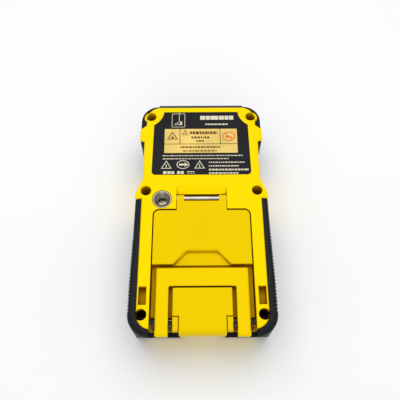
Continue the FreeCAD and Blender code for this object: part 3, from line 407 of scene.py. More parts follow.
def cell_sleeve(name, colour, button_side, middle):
    """A cell's printed sleeve: a bright band near the button end and a thin line near the other."""
    f = Finish(name, Specular_IOR_Level=0.5)
    along = (f.axis(1) - middle) * button_side
    grain = f.noise(0.4 * MM, detail=2, stretch=(1, 6, 1))
    rub = f.noise(4 * MM, detail=4)
    band = f.span(along, 11.0 * MM, 11.2 * MM)
    line = f.span(abs(along + 15.0 * MM), 0.45 * MM, 0.55 * MM, 1.0, 0.0)
    base = f.mix(f.span(rub, 0.3, 0.7), shade(colour, 0.85), shade(colour, 1.25))
    base = f.mix(band, base, (0.72, 0.70, 0.66))
    f.set("Base Color", f.mix(line, base, (0.72, 0.70, 0.66)))
    f.set("Roughness", 0.27 + (grain - 0.5) * 0.14 + f.span(rub, 0.55, 0.8, 0.0, 0.12))
    f.bump(grain, 0.01 * MM, 0.3)
    return f.material


def display_glass(name, colour):
    """The liquid crystal glass: pale ground inside a dark frame."""
    f = Finish(name, Specular_IOR_Level=0.5)
    fine = f.noise(0.25 * MM, detail=1)
    cloud = f.noise(16 * MM, detail=3)
    x, y = f.axis(0), f.axis(1)
    side = f.span(abs(x), 14.3 * MM, 14.5 * MM)
    end = f.span(abs(y - 26.2 * MM), 14.0 * MM, 14.2 * MM)
    frame_mask = side.maths("MAXIMUM", side, end)
    base = f.mix(cloud, shade(colour, 0.9), shade(colour, 1.1))
    f.set("Base Color", f.mix(frame_mask, base, (0.02, 0.02, 0.022)))
    f.set("Roughness", 0.18 + (fine - 0.5) * 0.1 + frame_mask * 0.25)
    f.bump(fine, 0.004 * MM, 0.3)
    return f.material


def floor_finish(name, colour):
    """A pale table with a faint satin sheen."""
    f = Finish(name, Specular_IOR_Level=0.35)
    broad = f.noise(90 * MM, detail=3)
    fine = f.noise(0.8 * MM, detail=2)
    f.set("Base Color", f.mix(broad, shade(colour, 0.985), shade(colour, 1.015)))
    f.set("Roughness", 0.42 + (fine - 0.5) * 0.1)
    f.bump(fine, 0.01 * MM, 0.15)
    return f.material


def paint(material, *nodes):
    """Gives carried-over CAD nodes a finish."""
    for name in nodes:
        frame["nodes"][name].material_slots[0].material = material


# ---- modelling, as by hand --------------------------------------------------------------------------

def clear_selection():
    bpy.ops.object.select_all(action="DESELECT")


def pick(piece):
    """Makes one piece the only selected and the active object."""
    clear_selection()
    piece.select_set(True)
    bpy.context.view_layer.objects.active = piece


def open_piece(name):
    """A new empty mesh at the origin, in edit mode, so that what is added has its place in the mesh."""
    clear_selection()
    bpy.ops.mesh.primitive_plane_add(size=MM)
    piece = bpy.context.active_object
    piece.name = piece.data.name = name
    bpy.ops.object.mode_set(mode="EDIT")
    bpy.ops.mesh.delete(type="VERT")
    return piece


def close_piece(piece, material, body, angle=30.0):
    """Cleans a piece's mesh, gives it its finish and lets it ride on its body."""
    bpy.ops.mesh.select_all(action="SELECT")
    bpy.ops.mesh.normals_make_consistent(inside=False)
    bpy.ops.object.mode_set(mode="OBJECT")
    bpy.ops.object.shade_smooth_by_angle(angle=math.radians(angle))
    settle(piece, material, body)
    return piece


def settle(piece, material, body):
    """Applies a piece's place, gives it its finish and lets it ride on its body."""
    pick(piece)
    bpy.ops.object.transform_apply(location=True, rotation=True, scale=True)
    piece.data.materials.clear()
    piece.data.materials.append(material)
    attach(piece, body)
    clear_selection()


def raise_print(lift):
    """Gives every flat shape of the piece its thickness."""
    bpy.ops.mesh.select_all(action="SELECT")
    bpy.ops.mesh.extrude_region_move(TRANSFORM_OT_translate={"value": (0, 0, lift)})


def bar(centre, half_x, half_y, turn=0.0):
    """A flat rectangle in the mesh being edited."""
    bpy.ops.mesh.primitive_plane_add(size=2.0, location=centre)
    bpy.ops.transform.resize(value=(half_x, half_y, 1.0), center_override=centre)
    if turn:
        bpy.ops.transform.rotate(value=-turn, orient_axis="Z", center_override=centre)


def shape(sides, centre, half_x, half_y, turn=0.0, line=0.0):
    """A flat polygon, or its outline when a line width is given. Its halves are those of its box."""
    bpy.ops.mesh.primitive_circle_add(vertices=sides, radius=1.0, fill_type="NGON", location=centre)
    if turn:
        bpy.ops.transform.rotate(value=-turn, orient_axis="Z", center_override=centre)
    bpy.ops.transform.resize(value=(half_x, half_y, 1.0), center_override=centre)
    if line:
        bpy.ops.mesh.inset(thickness=line, depth=0.0)
        bpy.ops.mesh.delete(type="FACE")


def mark(x, y, z, half_x, half_y, turn=0.0):
    """A bar given in millimetres and degrees, but for its height z."""
    bar((x * MM, y * MM, z), half_x * MM, half_y * MM, math.radians(turn))


def sign(sides, x, y, z, half_x, half_y, line=0.0, turn=0.0):
    """A shape given in millimetres and degrees, but for its height z."""
    shape(sides, (x * MM, y * MM, z), half_x * MM, half_y * MM, math.radians(turn), line * MM)


def words(x0, x1, y, half_height, z, seed, gap=0.3):
    """A line of plain blocks of uneven length, in place of lettering. Given in millimetres, but for z."""
    draw = random.Random(seed)
    x, x1, y, half_height, gap = (value * MM for value in (x0, x1, y, half_height, gap))
    while x < x1 - 0.3 * MM:
        width = min(draw.uniform(0.5, 1.6) * MM, x1 - x)
        if x1 - x - width < 0.6 * MM:
            width = x1 - x
        bar(((x + width / 2), y, z), width / 2, half_height)
        x += width + gap


def trace(points):
    """A chain of vertices and edges through these points, extruded one by one, in the mesh being edited."""
    bpy.ops.mesh.primitive_plane_add(size=0.01 * MM, location=points[0])
    bpy.ops.mesh.merge(type="CENTER")
    for before, after in zip(points, points[1:]):
        bpy.ops.mesh.extrude_region_move(TRANSFORM_OT_translate={"value": after - before})
    bpy.ops.mesh.select_all(action="SELECT")
    bpy.ops.mesh.remove_doubles(threshold=0.002 * MM)


def turned(name, profile, centre, axis, steps=64):
    """A piece turned on a lathe: the profile's vertices are extruded one by one and spun round the axis.
    Each point of the profile is (radius, height along the axis)."""
    piece = open_piece(name)
    along = Vector(axis).normalized()
    out = Vector((1, 0, 0))
    points = [Vector(centre) + out * radius + along * height for radius, height in profile]
    trace(points + points[:1])
    bpy.ops.mesh.select_all(action="SELECT")
    bpy.ops.mesh.spin(steps=steps, angle=math.tau, use_auto_merge=True, center=centre, axis=along)
    bpy.ops.mesh.select_all(action="SELECT")
    bpy.ops.mesh.remove_doubles(threshold=0.002 * MM)
    return piece


def copy_piece(piece, name):
    """A copy with its own mesh."""
    pick(piece)
    bpy.ops.object.duplicate(linked=False)
    twin = bpy.context.active_object
    twin.name = twin.data.name = name
    return twin


def apply_modifier(piece, kind, **settings):
    """Adds a modifier and applies it."""
    modifier = piece.modifiers.new(kind.title(), kind)
    for key, value in settings.items():
        setattr(modifier, key, value)
    pick(piece)
    bpy.ops.object.modifier_apply(modifier=modifier.name)


def wind(piece, rise, turns, steps, sides):
    """Winds the profile being edited into a helix about Z and closes its ends of up to so many sides."""
    bpy.ops.object.mode_set(mode="OBJECT")
    apply_modifier(piece, "SCREW", axis="Z", angle=math.tau, screw_offset=rise, steps=steps,
                   render_steps=steps, iterations=turns, use_merge_vertices=False,
                   use_smooth_shade=False)
    bpy.ops.object.mode_set(mode="EDIT")
    bpy.ops.mesh.select_all(action="SELECT")
    bpy.ops.mesh.fill_holes(sides=sides)


def middle(node):
    """The middle of a CAD node's box."""
    low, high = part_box(node)
    return (low + high) / 2


# ---- operators ------------------------------------------------------------------------------------

class METER_OT_shells(bpy.types.Operator):
    """Moulded yellow plastic on the two shells, and the seal between them"""
    bl_idname = "meter.shells"
    bl_label = "Shells"

    def execute(self, context):
        colours = context.scene.meter_colours
        paint(moulded_plastic("shell_plastic", colours.housing, colours.crevice_shade),
              "rear_shell", "front_shell")
        paint(grip_rubber("seal_rubber", (0.05, 0.05, 0.052)), "housing_seal")
        return {"FINISHED"}


class METER_OT_cover(bpy.types.Operator):
    """Moulded plastic on the battery cover, the end piece and the hinge blocks, and foam on the gasket"""
    bl_idname = "meter.cover"
    bl_label = "Battery cover and end piece"

    def execute(self, context):
        colours = context.scene.meter_colours
        plastic = moulded_plastic("cover_plastic", colours.cover, colours.crevice_shade, 0.44)
        paint(plastic, "battery_cover", "hinge_block_left", "hinge_block_right")
        # Painted light: the end piece takes the cover's yellow made a little lighter, for its up-facing
        # faces.
        paint(moulded_plastic("end_piece_plastic", shade(colours.cover, 1.06), colours.crevice_shade, 0.4),
              "end_piece")
        paint(foam("gasket_foam", (0.05, 0.05, 0.055)), "cover_gasket")
        return {"FINISHED"}


class METER_OT_rubber(bpy.types.Operator):
    """Rubber on the side grips and corner bumpers"""
    bl_idname = "meter.rubber"
    bl_label = "Grips and bumpers"

    def execute(self, context):
        rubber = grip_rubber("grip_rubber", context.scene.meter_colours.rubber)
        paint(rubber, "grip_left", "grip_right", "bumper_left", "bumper_right")
        # Painted shade: black sleeves in the two screw wells at the tail.
        self.shade_sleeves(rubber)
        return {"FINISHED"}

    def shade_sleeves(self, rubber):
        """A thin black rubber sleeve in each of the two screw wells at the tail: a dark sheet of painted
        shade, so that they look black.
        """
        low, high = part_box("housing_screws")
        foot, depth = high.z + 0.1 * MM, 8.6 * MM
        inner, outer = 2.32 * MM, 2.44 * MM
        profile = [(inner, 0.0), (outer, 0.0), (outer, depth), (inner + 0.06 * MM, depth),
                   (inner, depth - 0.15 * MM)]
        place = Vector((high.x - 2.1 * MM, low.y + 2.1 * MM, foot))
        right = turned("well_shade_sleeve_right", profile, place, (0, 0, 1), steps=40)
        close_piece(right, rubber, "housing")
        left = copy_piece(right, "well_shade_sleeve_left")
        left.location.x -= 2 * place.x
        settle(left, rubber, "housing")


class METER_OT_fittings(bpy.types.Operator):
    """Metal finishes on the pins, washers, clips and screws"""
    bl_idname = "meter.fittings"
    bl_label = "Pins and screws"

    def execute(self, context):
        paint(bright_metal("ground_steel", (0.50, 0.47, 0.44), 0.22, grain=(18, 1, 1)), "hinge_pin")
        # Painted shade: the pins, washers and clips get a near-black brown instead of bright steel, to match
        # the dark pockets they sit in.
        paint(bright_metal("pivot_steel_painted_shade", (0.07, 0.045, 0.02), 0.45, grain=(12, 1, 1)),
              "pivot_pin_left", "pivot_pin_right", "friction_washer_left",
              "friction_washer_right", "pivot_clip_left", "pivot_clip_right")
        paint(bright_metal("screw_zinc", (0.07, 0.055, 0.04), 0.45), "housing_screws", "board_screws")
        return {"FINISHED"}


class METER_OT_tripod_insert(bpy.types.Operator):
    """The plated tripod insert, with a real thread in its bore"""
    bl_idname = "meter.tripod_insert"
    bl_label = "Tripod insert"

    def execute(self, context):
        sizes = context.scene.meter_sizes
        low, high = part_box("tripod_insert")
        centre = middle("tripod_insert")
        depth = high.z - low.z
        root, rim = sizes.thread_root, sizes.insert_radius
        chamfer, mouth, floor = 0.35 * MM, 0.75 * MM, 0.5 * MM
        profile = [(0.0, 0.0), (rim, 0.0), (rim, depth - chamfer),
                   (rim - chamfer * 0.4, depth - chamfer * 0.4), (rim - chamfer, depth),
                   (root + mouth, depth), (root + mouth * 0.4, depth - mouth * 0.4),
                   (root, depth - mouth), (root, floor), (0.0, floor)]
        # Painted shade: the colour deep in the insert's bore is nearly black.
        metal = bright_metal("insert_nickel", (0.34, 0.30, 0.24), 0.22, size=0.6 * MM,
                             gap_shade=(0.05, 0.04, 0.03))
        body = turned("tripod_insert_body", profile, (centre.x, centre.y, low.z), (0, 0, 1))
        close_piece(body, metal, "housing")
        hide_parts("tripod_insert")

        half_pitch = sizes.thread_pitch * 0.44
        ridge = open_piece("tripod_thread")
        start = low.z + sizes.thread_pitch * 0.6
        turns = int((depth - sizes.thread_pitch * 1.1) / sizes.thread_pitch)
        crest, foot = sizes.thread_crest, root + 0.04 * MM
        corners = [Vector((foot, 0, start - half_pitch)), Vector((crest, 0, start - half_pitch * 0.2)),
                   Vector((crest, 0, start + half_pitch * 0.2)), Vector((foot, 0, start + half_pitch))]
        trace(corners + corners[:1])
        wind(ridge, sizes.thread_pitch, turns, 48, 8)
        bpy.ops.mesh.select_all(action="SELECT")
        bpy.ops.transform.translate(value=(centre.x, centre.y, 0))
        close_piece(ridge, metal, "housing")
        return {"FINISHED"}


class METER_OT_label(bpy.types.Operator):
    """The label's film and its print: a pale notice panel, outlines, icons and plain text blocks"""
    bl_idname = "meter.label"
    bl_label = "Label"

    def execute(self, context):
        colours, lift = context.scene.meter_colours, context.scene.meter_sizes.ink
        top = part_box("back_label")[1].z
        paint(printed_film("label_film", colours.film, 0.36), "back_label")
        self.notice_panel(colours, top, lift)
        self.notice_marks(colours, top + lift, lift)
        self.pale_marks(colours, top, lift)
        return {"FINISHED"}

    def notice_panel(self, colours, z, lift):
        """Four pale fields with narrow dark lines between them."""
        piece = open_piece("label_notice_panel")
        line = 0.16 * MM
        rows = ((33.5, 42.25), (28.35, 33.5))
        for left, right in ((-17.7, -10.15), (-10.15, 9.15), (9.15, 17.5)):
            self.field(left * MM + line, right * MM - line, rows[0], z, line)
        self.field(-17.7 * MM + line, 17.5 * MM - line, rows[1], z, line)
        raise_print(lift)
        close_piece(piece, printed_film("notice_ink", colours.cream, 0.3,
                                        ground=shade(colours.cream, 0.86)),
                    "housing")

    def field(self, left, right, row, z, line):
        low, high = row[0] * MM + line, row[1] * MM - line
        bar(((left + right) / 2, (low + high) / 2, z), (right - left) / 2, (high - low) / 2)

    def notice_marks(self, colours, z, lift):
        """Brown marks on the panel, and the orange-red prohibition ring."""
        piece = open_piece("label_notice_marks")
        sign(3, -13.75, 37.55, z, 3.1, 2.95, line=0.42)
        for turn in range(0, 180, 45):
            mark(-13.75, 37.15, z, 0.9, 0.09, turn)
        sign(16, -13.75, 37.15, z, 0.36, 0.36)
        sign(3, -7.65, 39.65, z, 1.75, 2.15, line=0.3)
        mark(-7.65, 39.75, z, 0.14, 0.55)
        for x0, x1, y, half, seed in ((-5.4, 7.8, 39.8, 0.82, 11), (-4.7, 4.0, 37.15, 0.55, 12),
                                      (-2.3, 1.4, 35.2, 0.45, 13), (-10.0, 9.0, 31.7, 0.46, 14),
                                      (-8.6, 7.3, 29.6, 0.34, 15)):
            words(x0, x1, y, half, z, seed, gap=0.34)
        raise_print(lift)
        close_piece(piece, printed_film("brown_ink", colours.brown_ink, 0.4), "housing")

        ring = open_piece("label_prohibition_ring")
        x, y = 13.3, 37.75
        sign(40, x, y, z, 3.2, 2.65, line=0.5)
        mark(x, y, z + lift * 0.4, 2.75, 0.24, -40)
        sign(20, x - 0.9, y - 0.35, z, 0.75, 0.62)
        mark(x + 0.75, y - 0.35, z, 0.95, 0.2)
        raise_print(lift)
        close_piece(ring, printed_film("red_ink", colours.red_ink, 0.38), "housing")

    def pale_marks(self, colours, z, lift):
        """Pale marks straight on the film."""
        piece = open_piece("label_pale_marks")
        # the square pictogram: a stand with a level line, a beam and a wall
        left, right, low, high = -14.1, -7.9, 43.2, 51.0
        for x in (left, right):
            mark(x, (low + high) / 2, z, 0.13, (high - low) / 2)
        for x0, x1 in ((left, -11.3), (-9.6, right)):
            mark((x0 + x1) / 2, high, z, (x1 - x0) / 2, 0.16)
        mark(-10.6, 48.7, z, 0.16, 2.5)
        sign(20, -10.6, 51.25, z, 0.62, 0.42)
        sign(3, -11.5, 45.0, z, 1.9, 1.1, line=0.24)
        mark(-9.7, 45.4, z, 0.5, 1.0)
        mark((left + right) / 2, low, z, 3.1, 0.12)
        # a bold plain mark with a line under it
        for x0, x1 in ((-0.4, 2.1), (2.4, 4.3), (4.6, 8.5), (8.8, 11.3), (11.6, 13.5), (13.8, 15.9)):
            mark((x0 + x1) / 2, 48.6, z, (x1 - x0) / 2, 1.15)
        words(2.1, 13.0, 44.75, 0.42, z, 21, gap=0.3)
        # two fine lines under the panel
        words(-18.2, 19.6, 27.0, 0.24, z, 22)
        words(-18.2, 12.8, 25.3, 0.24, z, 23)
        # two warning triangles and a round arrow sign between them
        for x in (-16.4, -0.8):
            sign(3, x, 21.5, z, 2.9, 2.95, line=0.36)
            mark(x, 21.6, z, 0.2, 0.8)
            sign(10, x, 20.45, z, 0.24, 0.24)
        sign(28, -8.6, 22.15, z, 3.0, 2.3, line=0.36)
        mark(-9.3, 22.15, z, 1.15, 0.5)
        sign(3, -7.3, 22.15, z, 1.25, 1.3, turn=-90)
        # supply mark: bold blocks and a direct current sign
        for x0, x1 in ((-17.8, -16.2), (-15.8, -14.2), (-13.9, -12.6), (-11.3, -9.9), (-9.6, -8.2)):
            mark((x0 + x1) / 2, 17.9, z, (x1 - x0) / 2, 0.72)
        mark(-4.9, 18.35, z, 1.7, 0.16)
        for x in (-6.2, -4.9, -3.6):
            mark(x, 17.6, z, 0.38, 0.16)
        # four lines at the right
        for x1, y, half, seed in ((20.9, 23.3, 0.28, 31), (17.5, 21.35, 0.3, 32),
                                  (22.0, 19.35, 0.44, 33), (17.2, 17.5, 0.4, 34)):
            words(3.5, x1, y, half, z, seed, gap=0.32)
        raise_print(lift)
        close_piece(piece, printed_film("pale_ink", colours.pale_ink, 0.42,
                                        ground=shade(colours.pale_ink, 0.8)),
                    "housing")


class METER_OT_battery_bay(bpy.types.Operator):
    """Tray, cells with printed sleeves, contacts and coiled contact springs"""
    bl_idname = "meter.battery_bay"
    bl_label = "Battery bay"

    def execute(self, context):
        colours, sizes = context.scene.meter_colours, context.scene.meter_sizes
        paint(dark_plastic("tray_plastic", (0.022, 0.022, 0.024), 0.46), "battery_tray")
        contact = bright_metal("contact_nickel", (0.78, 0.76, 0.70), 0.2, grain=(1, 1, 10))
        paint(contact, "contact_plates_head", "contact_plates_tail")
        self.cells(colours, sizes)
        self.coils(sizes, contact)
        self.polarity_marks()
        return {"FINISHED"}

    def cells(self, colours, sizes):
        """Each cell's sleeve is a turned tube with rolled ends."""
        for number in (1, 2, 3):
            node = f"battery_cell_{number}"
            low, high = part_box(node)
            centre = middle(node)
            side = -1 if number == 2 else 1
            paint(cell_can(f"cell_steel_{number}", side, centre.y), node)
            if number == 1:
                radius = (high.x - low.x) / 2
                half, wall, roll = 21.1 * MM, sizes.sleeve_wall, 0.35 * MM
                outer = radius + wall
                profile = [(radius - roll, -half), (outer - roll * 0.5, -half), (outer, -half + roll),
                           (outer, half - roll), (outer - roll * 0.5, half), (radius - roll, half),
                           (radius - 0.02 * MM, half - roll), (radius - 0.02 * MM, -half + roll)]
                first = turned("cell_sleeve_1", profile, centre, (0, 1, 0), steps=48)
                bpy.ops.object.mode_set(mode="OBJECT")
                origin = centre.copy()
                sleeves = [first] + [copy_piece(first, f"cell_sleeve_{n}") for n in (2, 3)]
            sleeve = sleeves[number - 1]
            sleeve.location = centre - origin
            pick(sleeve)
            bpy.ops.object.mode_set(mode="EDIT")
            finish = cell_sleeve(f"sleeve_print_{number}", colours.sleeve, side, centre.y)
            close_piece(sleeve, finish, "housing", angle=40)

    def coils(self, sizes, contact):
        """Three coiled springs, each tapering towards its cell, in place of the CAD's stacked rings."""
        low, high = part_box("contact_springs")
        height = middle("contact_springs").z
        wire = sizes.coil_wire
        rise = 2.4 * MM
        turns = 3
        coil = open_piece("contact_coils")
        bpy.ops.mesh.primitive_circle_add(vertices=10, radius=wire, fill_type="NOTHING",
                                          location=(sizes.coil_radius, 0, 0), rotation=(math.pi / 2, 0, 0))
        wind(coil, rise / turns, turns, 40, 12)
        bpy.ops.object.mode_set(mode="OBJECT")
        apply_modifier(coil, "SIMPLE_DEFORM", deform_method="TAPER", deform_axis="Z", factor=-0.5)
        places = []
        for number in (1, 2, 3):
            cell_low, cell_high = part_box(f"battery_cell_{number}")
            x = (cell_low.x + cell_high.x) / 2
            if number == 2:
                places.append((Vector((x, high.y - wire, height)), math.radians(90)))
            else:
                places.append((Vector((x, low.y + wire, height)), math.radians(-90)))
        pieces = [coil] + [copy_piece(coil, f"contact_coil_{n}") for n in (2, 3)]
        for piece, (place, turn) in zip(pieces, places):
            piece.location, piece.rotation_euler = place, (turn, 0, 0)
        clear_selection()
        for piece in pieces:
            piece.select_set(True)
        bpy.context.view_layer.objects.active = coil
        bpy.ops.object.transform_apply(location=True, rotation=True, scale=True)
        bpy.ops.object.join()
        bpy.ops.object.mode_set(mode="EDIT")
        close_piece(coil, contact, "housing", angle=50)
        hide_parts("contact_springs")

    def polarity_marks(self):
        """A raised plus at each button end and a minus at each flat end, on the tray's end walls."""
        low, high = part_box("battery_tray")
        piece = open_piece("polarity_marks")
        z = high.z - 0.02 * MM
        for number in (1, 2, 3):
            cell_low, cell_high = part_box(f"battery_cell_{number}")
            x = (cell_low.x + cell_high.x) / 2
            head, tail = high.y - 0.75 * MM, low.y + 0.95 * MM
            plus, minus = (tail, head) if number == 2 else (head, tail)
            bar((x, plus, z), 0.5 * MM, 0.13 * MM)
            bar((x, plus, z + 0.01 * MM), 0.13 * MM, 0.5 * MM)
            bar((x, minus, z), 0.5 * MM, 0.13 * MM)
        raise_print(0.12 * MM)
        close_piece(piece, dark_plastic("mark_plastic", (0.30, 0.30, 0.30), 0.5), "housing")


# The signs on the keys, in millimetres and degrees from each key's middle.
# stroke: dx, dy, half x, half y, turn. form: sides, dx, dy, half x, half y, turn, line.
# spokes: reach, turns, half x, half y, sense of turning.
KEY_SIGNS = {
    "key_measure": (("form", 36, 0, 0, 2.6, 2.6, 0, 0.4), ("form", 20, 0, 0, 0.8, 0.8, 0, 0),
                    ("spokes", 3.5, range(0, 360, 90), 0.55, 0.18, 1)),
    "key_plus": (("stroke", 0, 0, 1.3, 0.2), ("stroke", 0, 0, 0.2, 1.3)),
    "key_minus": (("stroke", 0, 0, 1.3, 0.2),),
    "key_area": (("form", 4, 0, 0, 1.9, 1.9, 45),),
    "key_volume": (("form", 6, 0, 0, 1.7, 1.7), ("spokes", 0.75, (90, 210, 330), 0.75, 0.15, -1)),
    "key_indirect": (("form", 3, 0, -0.2, 1.8, 1.6), ("stroke", 0, -0.2, 0.14, 1.2)),
    "key_memory": tuple(("stroke", 0, dy, 1.7, 0.22) for dy in (-1.1, 0, 1.1)),
    "key_timer": (("form", 28, 0, 0, 1.7, 1.7), ("stroke", 0, 0.5, 0.15, 0.6),
                  ("stroke", -0.4, 0, 0.5, 0.15)),
    "key_light": (("form", 20, 0, 0, 0.8, 0.8),
                  ("spokes", 1.55, range(0, 360, 60), 0.4, 0.14, -1)),
    "key_units": (("stroke", 0, -0.6, 2.0, 0.16),) + tuple(
        ("stroke", dx, 0.0, 0.13, 0.55 if dx in (-1.8, 0, 1.8) else 0.35)
        for dx in (-1.8, -0.9, 0, 0.9, 1.8)),
    "key_power": (("form", 28, 0, -0.1, 1.6, 1.6), ("stroke", 0, 1.1, 0.5, 0.9),
                  ("stroke", 0, 1.1, 0.18, 1.0)),
    "key_clear": (("stroke", 0, 0, 1.7, 0.2, 45), ("stroke", 0, 0, 1.7, 0.2, -45)),
}


class METER_OT_display_side(bpy.types.Operator):
    """Front panel, display with its figures, keys and their symbols"""
    bl_idname = "meter.display_side"
    bl_label = "Display side"

    def execute(self, context):
        colours, lift = context.scene.meter_colours, context.scene.meter_sizes.ink
        paint(dark_plastic("panel_plastic", (0.018, 0.018, 0.020), 0.36), "front_panel")
        paint(clear_plate("window_acrylic", (0.96, 0.97, 0.97)), "display_window")
        paint(display_glass("display_crystal", (0.33, 0.36, 0.31)), "display_module")
        paint(grip_rubber("keypad_silicone", (0.06, 0.06, 0.062)), "keypad_mat")
        grey = dark_plastic("grey_key_plastic", colours.grey_key, 0.42)
        keys = [name for name in frame["nodes"] if name.startswith("key_")]
        paint(grey, *[name for name in keys if name != "key_measure"])
        paint(dark_plastic("red_key_plastic", colours.measure_key, 0.38), "key_measure")
        ink = printed_film("key_ink", (0.80, 0.80, 0.78), 0.4, ground=(0.6, 0.6, 0.58))
        for name in keys:
            self.symbol(name, ink, lift)
        self.figures(lift)
        self.panel_lines(ink, lift)
        return {"FINISHED"}

    def symbol(self, name, ink, lift):
        """The printed symbol on one key's face."""
        low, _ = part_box(name)
        x, y, _ = middle(name)
        z = low.z + 0.01 * MM
        piece = open_piece(name + "_symbol")

        def stroke(dx, dy, half_x, half_y, turn=0.0):
            bar((x + dx * MM, y + dy * MM, z), half_x * MM, half_y * MM, math.radians(turn))

        def form(sides, dx, dy, half_x, half_y, turn=0.0, line=0.32):
            shape(sides, (x + dx * MM, y + dy * MM, z), half_x * MM, half_y * MM, math.radians(turn),
                  line * MM)

        for kind, *values in KEY_SIGNS[name]:
            if kind == "spokes":
                reach, turns, half_x, half_y, sense = values
                for turn in turns:
                    angle = math.radians(turn)
                    stroke(reach * math.cos(angle), sense * reach * math.sin(angle), half_x, half_y,
                           sense * turn)
            else:
                {"stroke": stroke, "form": form}[kind](*values)
        raise_print(-lift - 0.01 * MM)
        close_piece(piece, ink, frame["nodes"][name]["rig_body"])

    def figures(self, lift):
        """Three rows of seven-bar figures and small signs on the display's glass."""
        low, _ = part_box("display_module")
        z = low.z + 0.005 * MM
        lit = {"0": "abcdef", "1": "bc", "2": "abged", "3": "abgcd", "4": "fgbc", "5": "afgcd",
               "6": "afgedc", "7": "abc", "8": "abcdefg", "9": "abcdfg"}
        piece = open_piece("display_figures")

        def digit(figure, x, y, size):
            half, thick = size * 0.28, size * 0.06
            bars = {"a": (0, 0.5, 1), "g": (0, 0, 1), "d": (0, -0.5, 1), "b": (-1, 0.25, 0),
                    "c": (-1, -0.25, 0), "f": (1, 0.25, 0), "e": (1, -0.25, 0)}
            for key in lit[figure]:
                side, level, flat = bars[key]
                place = (x + side * half, y + level * size, z)
                if flat:
                    bar(place, half - thick * 1.3, thick)
                else:
                    bar(place, thick, size * 0.25 - thick * 1.3)

        for text, y, size in (("0.000", 36.5, 4.2), ("2.486", 28.0, 4.2), ("13.507", 17.6, 6.0)):
            x = 9.5 * MM if size < 5 else 11.5 * MM
            for figure in text:
                if figure == ".":
                    bar((x + size * 0.30 * MM, (y - size * 0.5) * MM, z), size * 0.07 * MM, size * 0.07 * MM)
                    x -= size * 0.12 * MM
                else:
                    digit(figure, x, y * MM, size * MM)
                    x -= size * 0.82 * MM
        for y in (32.2, 23.2):
            bar((0, y * MM, z), 13.2 * MM, 0.09 * MM)
        shape(4, (-12.0 * MM, 38.2 * MM, z), 1.5 * MM, 1.0 * MM, math.radians(45), 0.2 * MM)
        for step in range(3):
            bar(((-11.4 - step * 0.6) * MM, 38.2 * MM, z), 0.18 * MM, 0.42 * MM)
        raise_print(-lift)
        ink = printed_film("display_figure", (0.035, 0.04, 0.045), 0.3)
        close_piece(piece, ink, "housing")

    def panel_lines(self, ink, lift):
        """A fine line round the window and a short rule over each row of keys."""
        low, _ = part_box("front_panel")
        window_low, window_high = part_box("display_window")
        z = low.z + 0.01 * MM
        piece = open_piece("panel_lines")
        margin, half_line = 1.0 * MM, 0.09 * MM
        left, right = window_low.x - margin, window_high.x + margin
        bottom, top = window_low.y - margin, window_high.y + margin
        for y in (bottom, top):
            bar(((left + right) / 2, y, z), (right - left) / 2 + half_line, half_line)
        for x in (left, right):
            bar((x, (bottom + top) / 2, z), half_line, (top - bottom) / 2 - half_line)
        for name in ("key_area", "key_memory", "key_units"):
            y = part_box(name)[1].y + 1.3 * MM
            for x in (-12.6, 0.0, 12.6):
                bar((x * MM, y, z), 1.6 * MM, half_line)
        raise_print(-lift - 0.01 * MM)
        close_piece(piece, ink, "housing")


class METER_OT_laser_end(bpy.types.Operator):
    """End cap, windows with their bezels, lenses and the optics behind them"""
    bl_idname = "meter.laser_end"
    bl_label = "Laser end"

    def execute(self, context):
        cap = dark_plastic("cap_plastic", (0.016, 0.016, 0.018), 0.34)
        paint(cap, "end_cap")
        paint(dark_plastic("optics_plastic", (0.014, 0.014, 0.015), 0.6), "optics_block")
        paint(clear_plate("receiver_glass", (0.80, 0.55, 0.60)), "window_receiver", "receiver_lens")
        paint(clear_plate("emitter_glass", (0.93, 0.95, 0.97)), "window_emitter", "emitter_lens")
        paint(bright_metal("laser_brass", (0.83, 0.60, 0.28), 0.24, grain=(1, 12, 1)), "laser_module")
        for side, inner in (("receiver", 6.1), ("emitter", 2.5)):
            self.bezel(side, inner * MM)
        return {"FINISHED"}

    def bezel(self, side, inner):
        """A stepped ring that frames one window, between its glass and the cap's face."""
        window = "window_" + side
        low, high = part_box(window)
        centre = middle(window)
        cap_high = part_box("end_cap")[1]
        outer = (high.x - low.x) / 2 - 0.86 * MM
        depth = cap_high.y - high.y - 0.12 * MM
        profile = [(inner, 0.0), (outer, 0.0), (outer, depth), (outer - 0.12 * MM, depth),
                   ((inner + outer) / 2, depth * 0.55), (inner + 0.06 * MM, depth * 0.45),
                   (inner, depth * 0.38)]
        ring = turned(f"bezel_{side}", profile, (centre.x, high.y, centre.z), (0, 1, 0), steps=72)
        # Painted shade: the colour deep in the bezel's gaps is nearly black.
        metal = bright_metal(f"bezel_{side}_metal", (0.10, 0.10, 0.11), 0.3, grain=(1, 9, 1),
                             gap_shade=(0.03, 0.03, 0.03))
        close_piece(ring, metal, "housing", angle=25)


class METER_OT_circuit(bpy.types.Operator):
    """Boards, chips and sounder"""
    bl_idname = "meter.circuit"
    bl_label = "Circuit"

    def execute(self, context):
        paint(circuit_laminate("main_laminate", (0.012, 0.10, 0.035)), "main_board")
        paint(circuit_laminate("detector_laminate", (0.012, 0.09, 0.05)), "detector_board")
        paint(dark_plastic("chip_epoxy", (0.02, 0.02, 0.021), 0.55, grain=0.12 * MM), "board_chips")
        paint(dark_plastic("sounder_plastic", (0.03, 0.03, 0.032), 0.5), "buzzer")
        return {"FINISHED"}


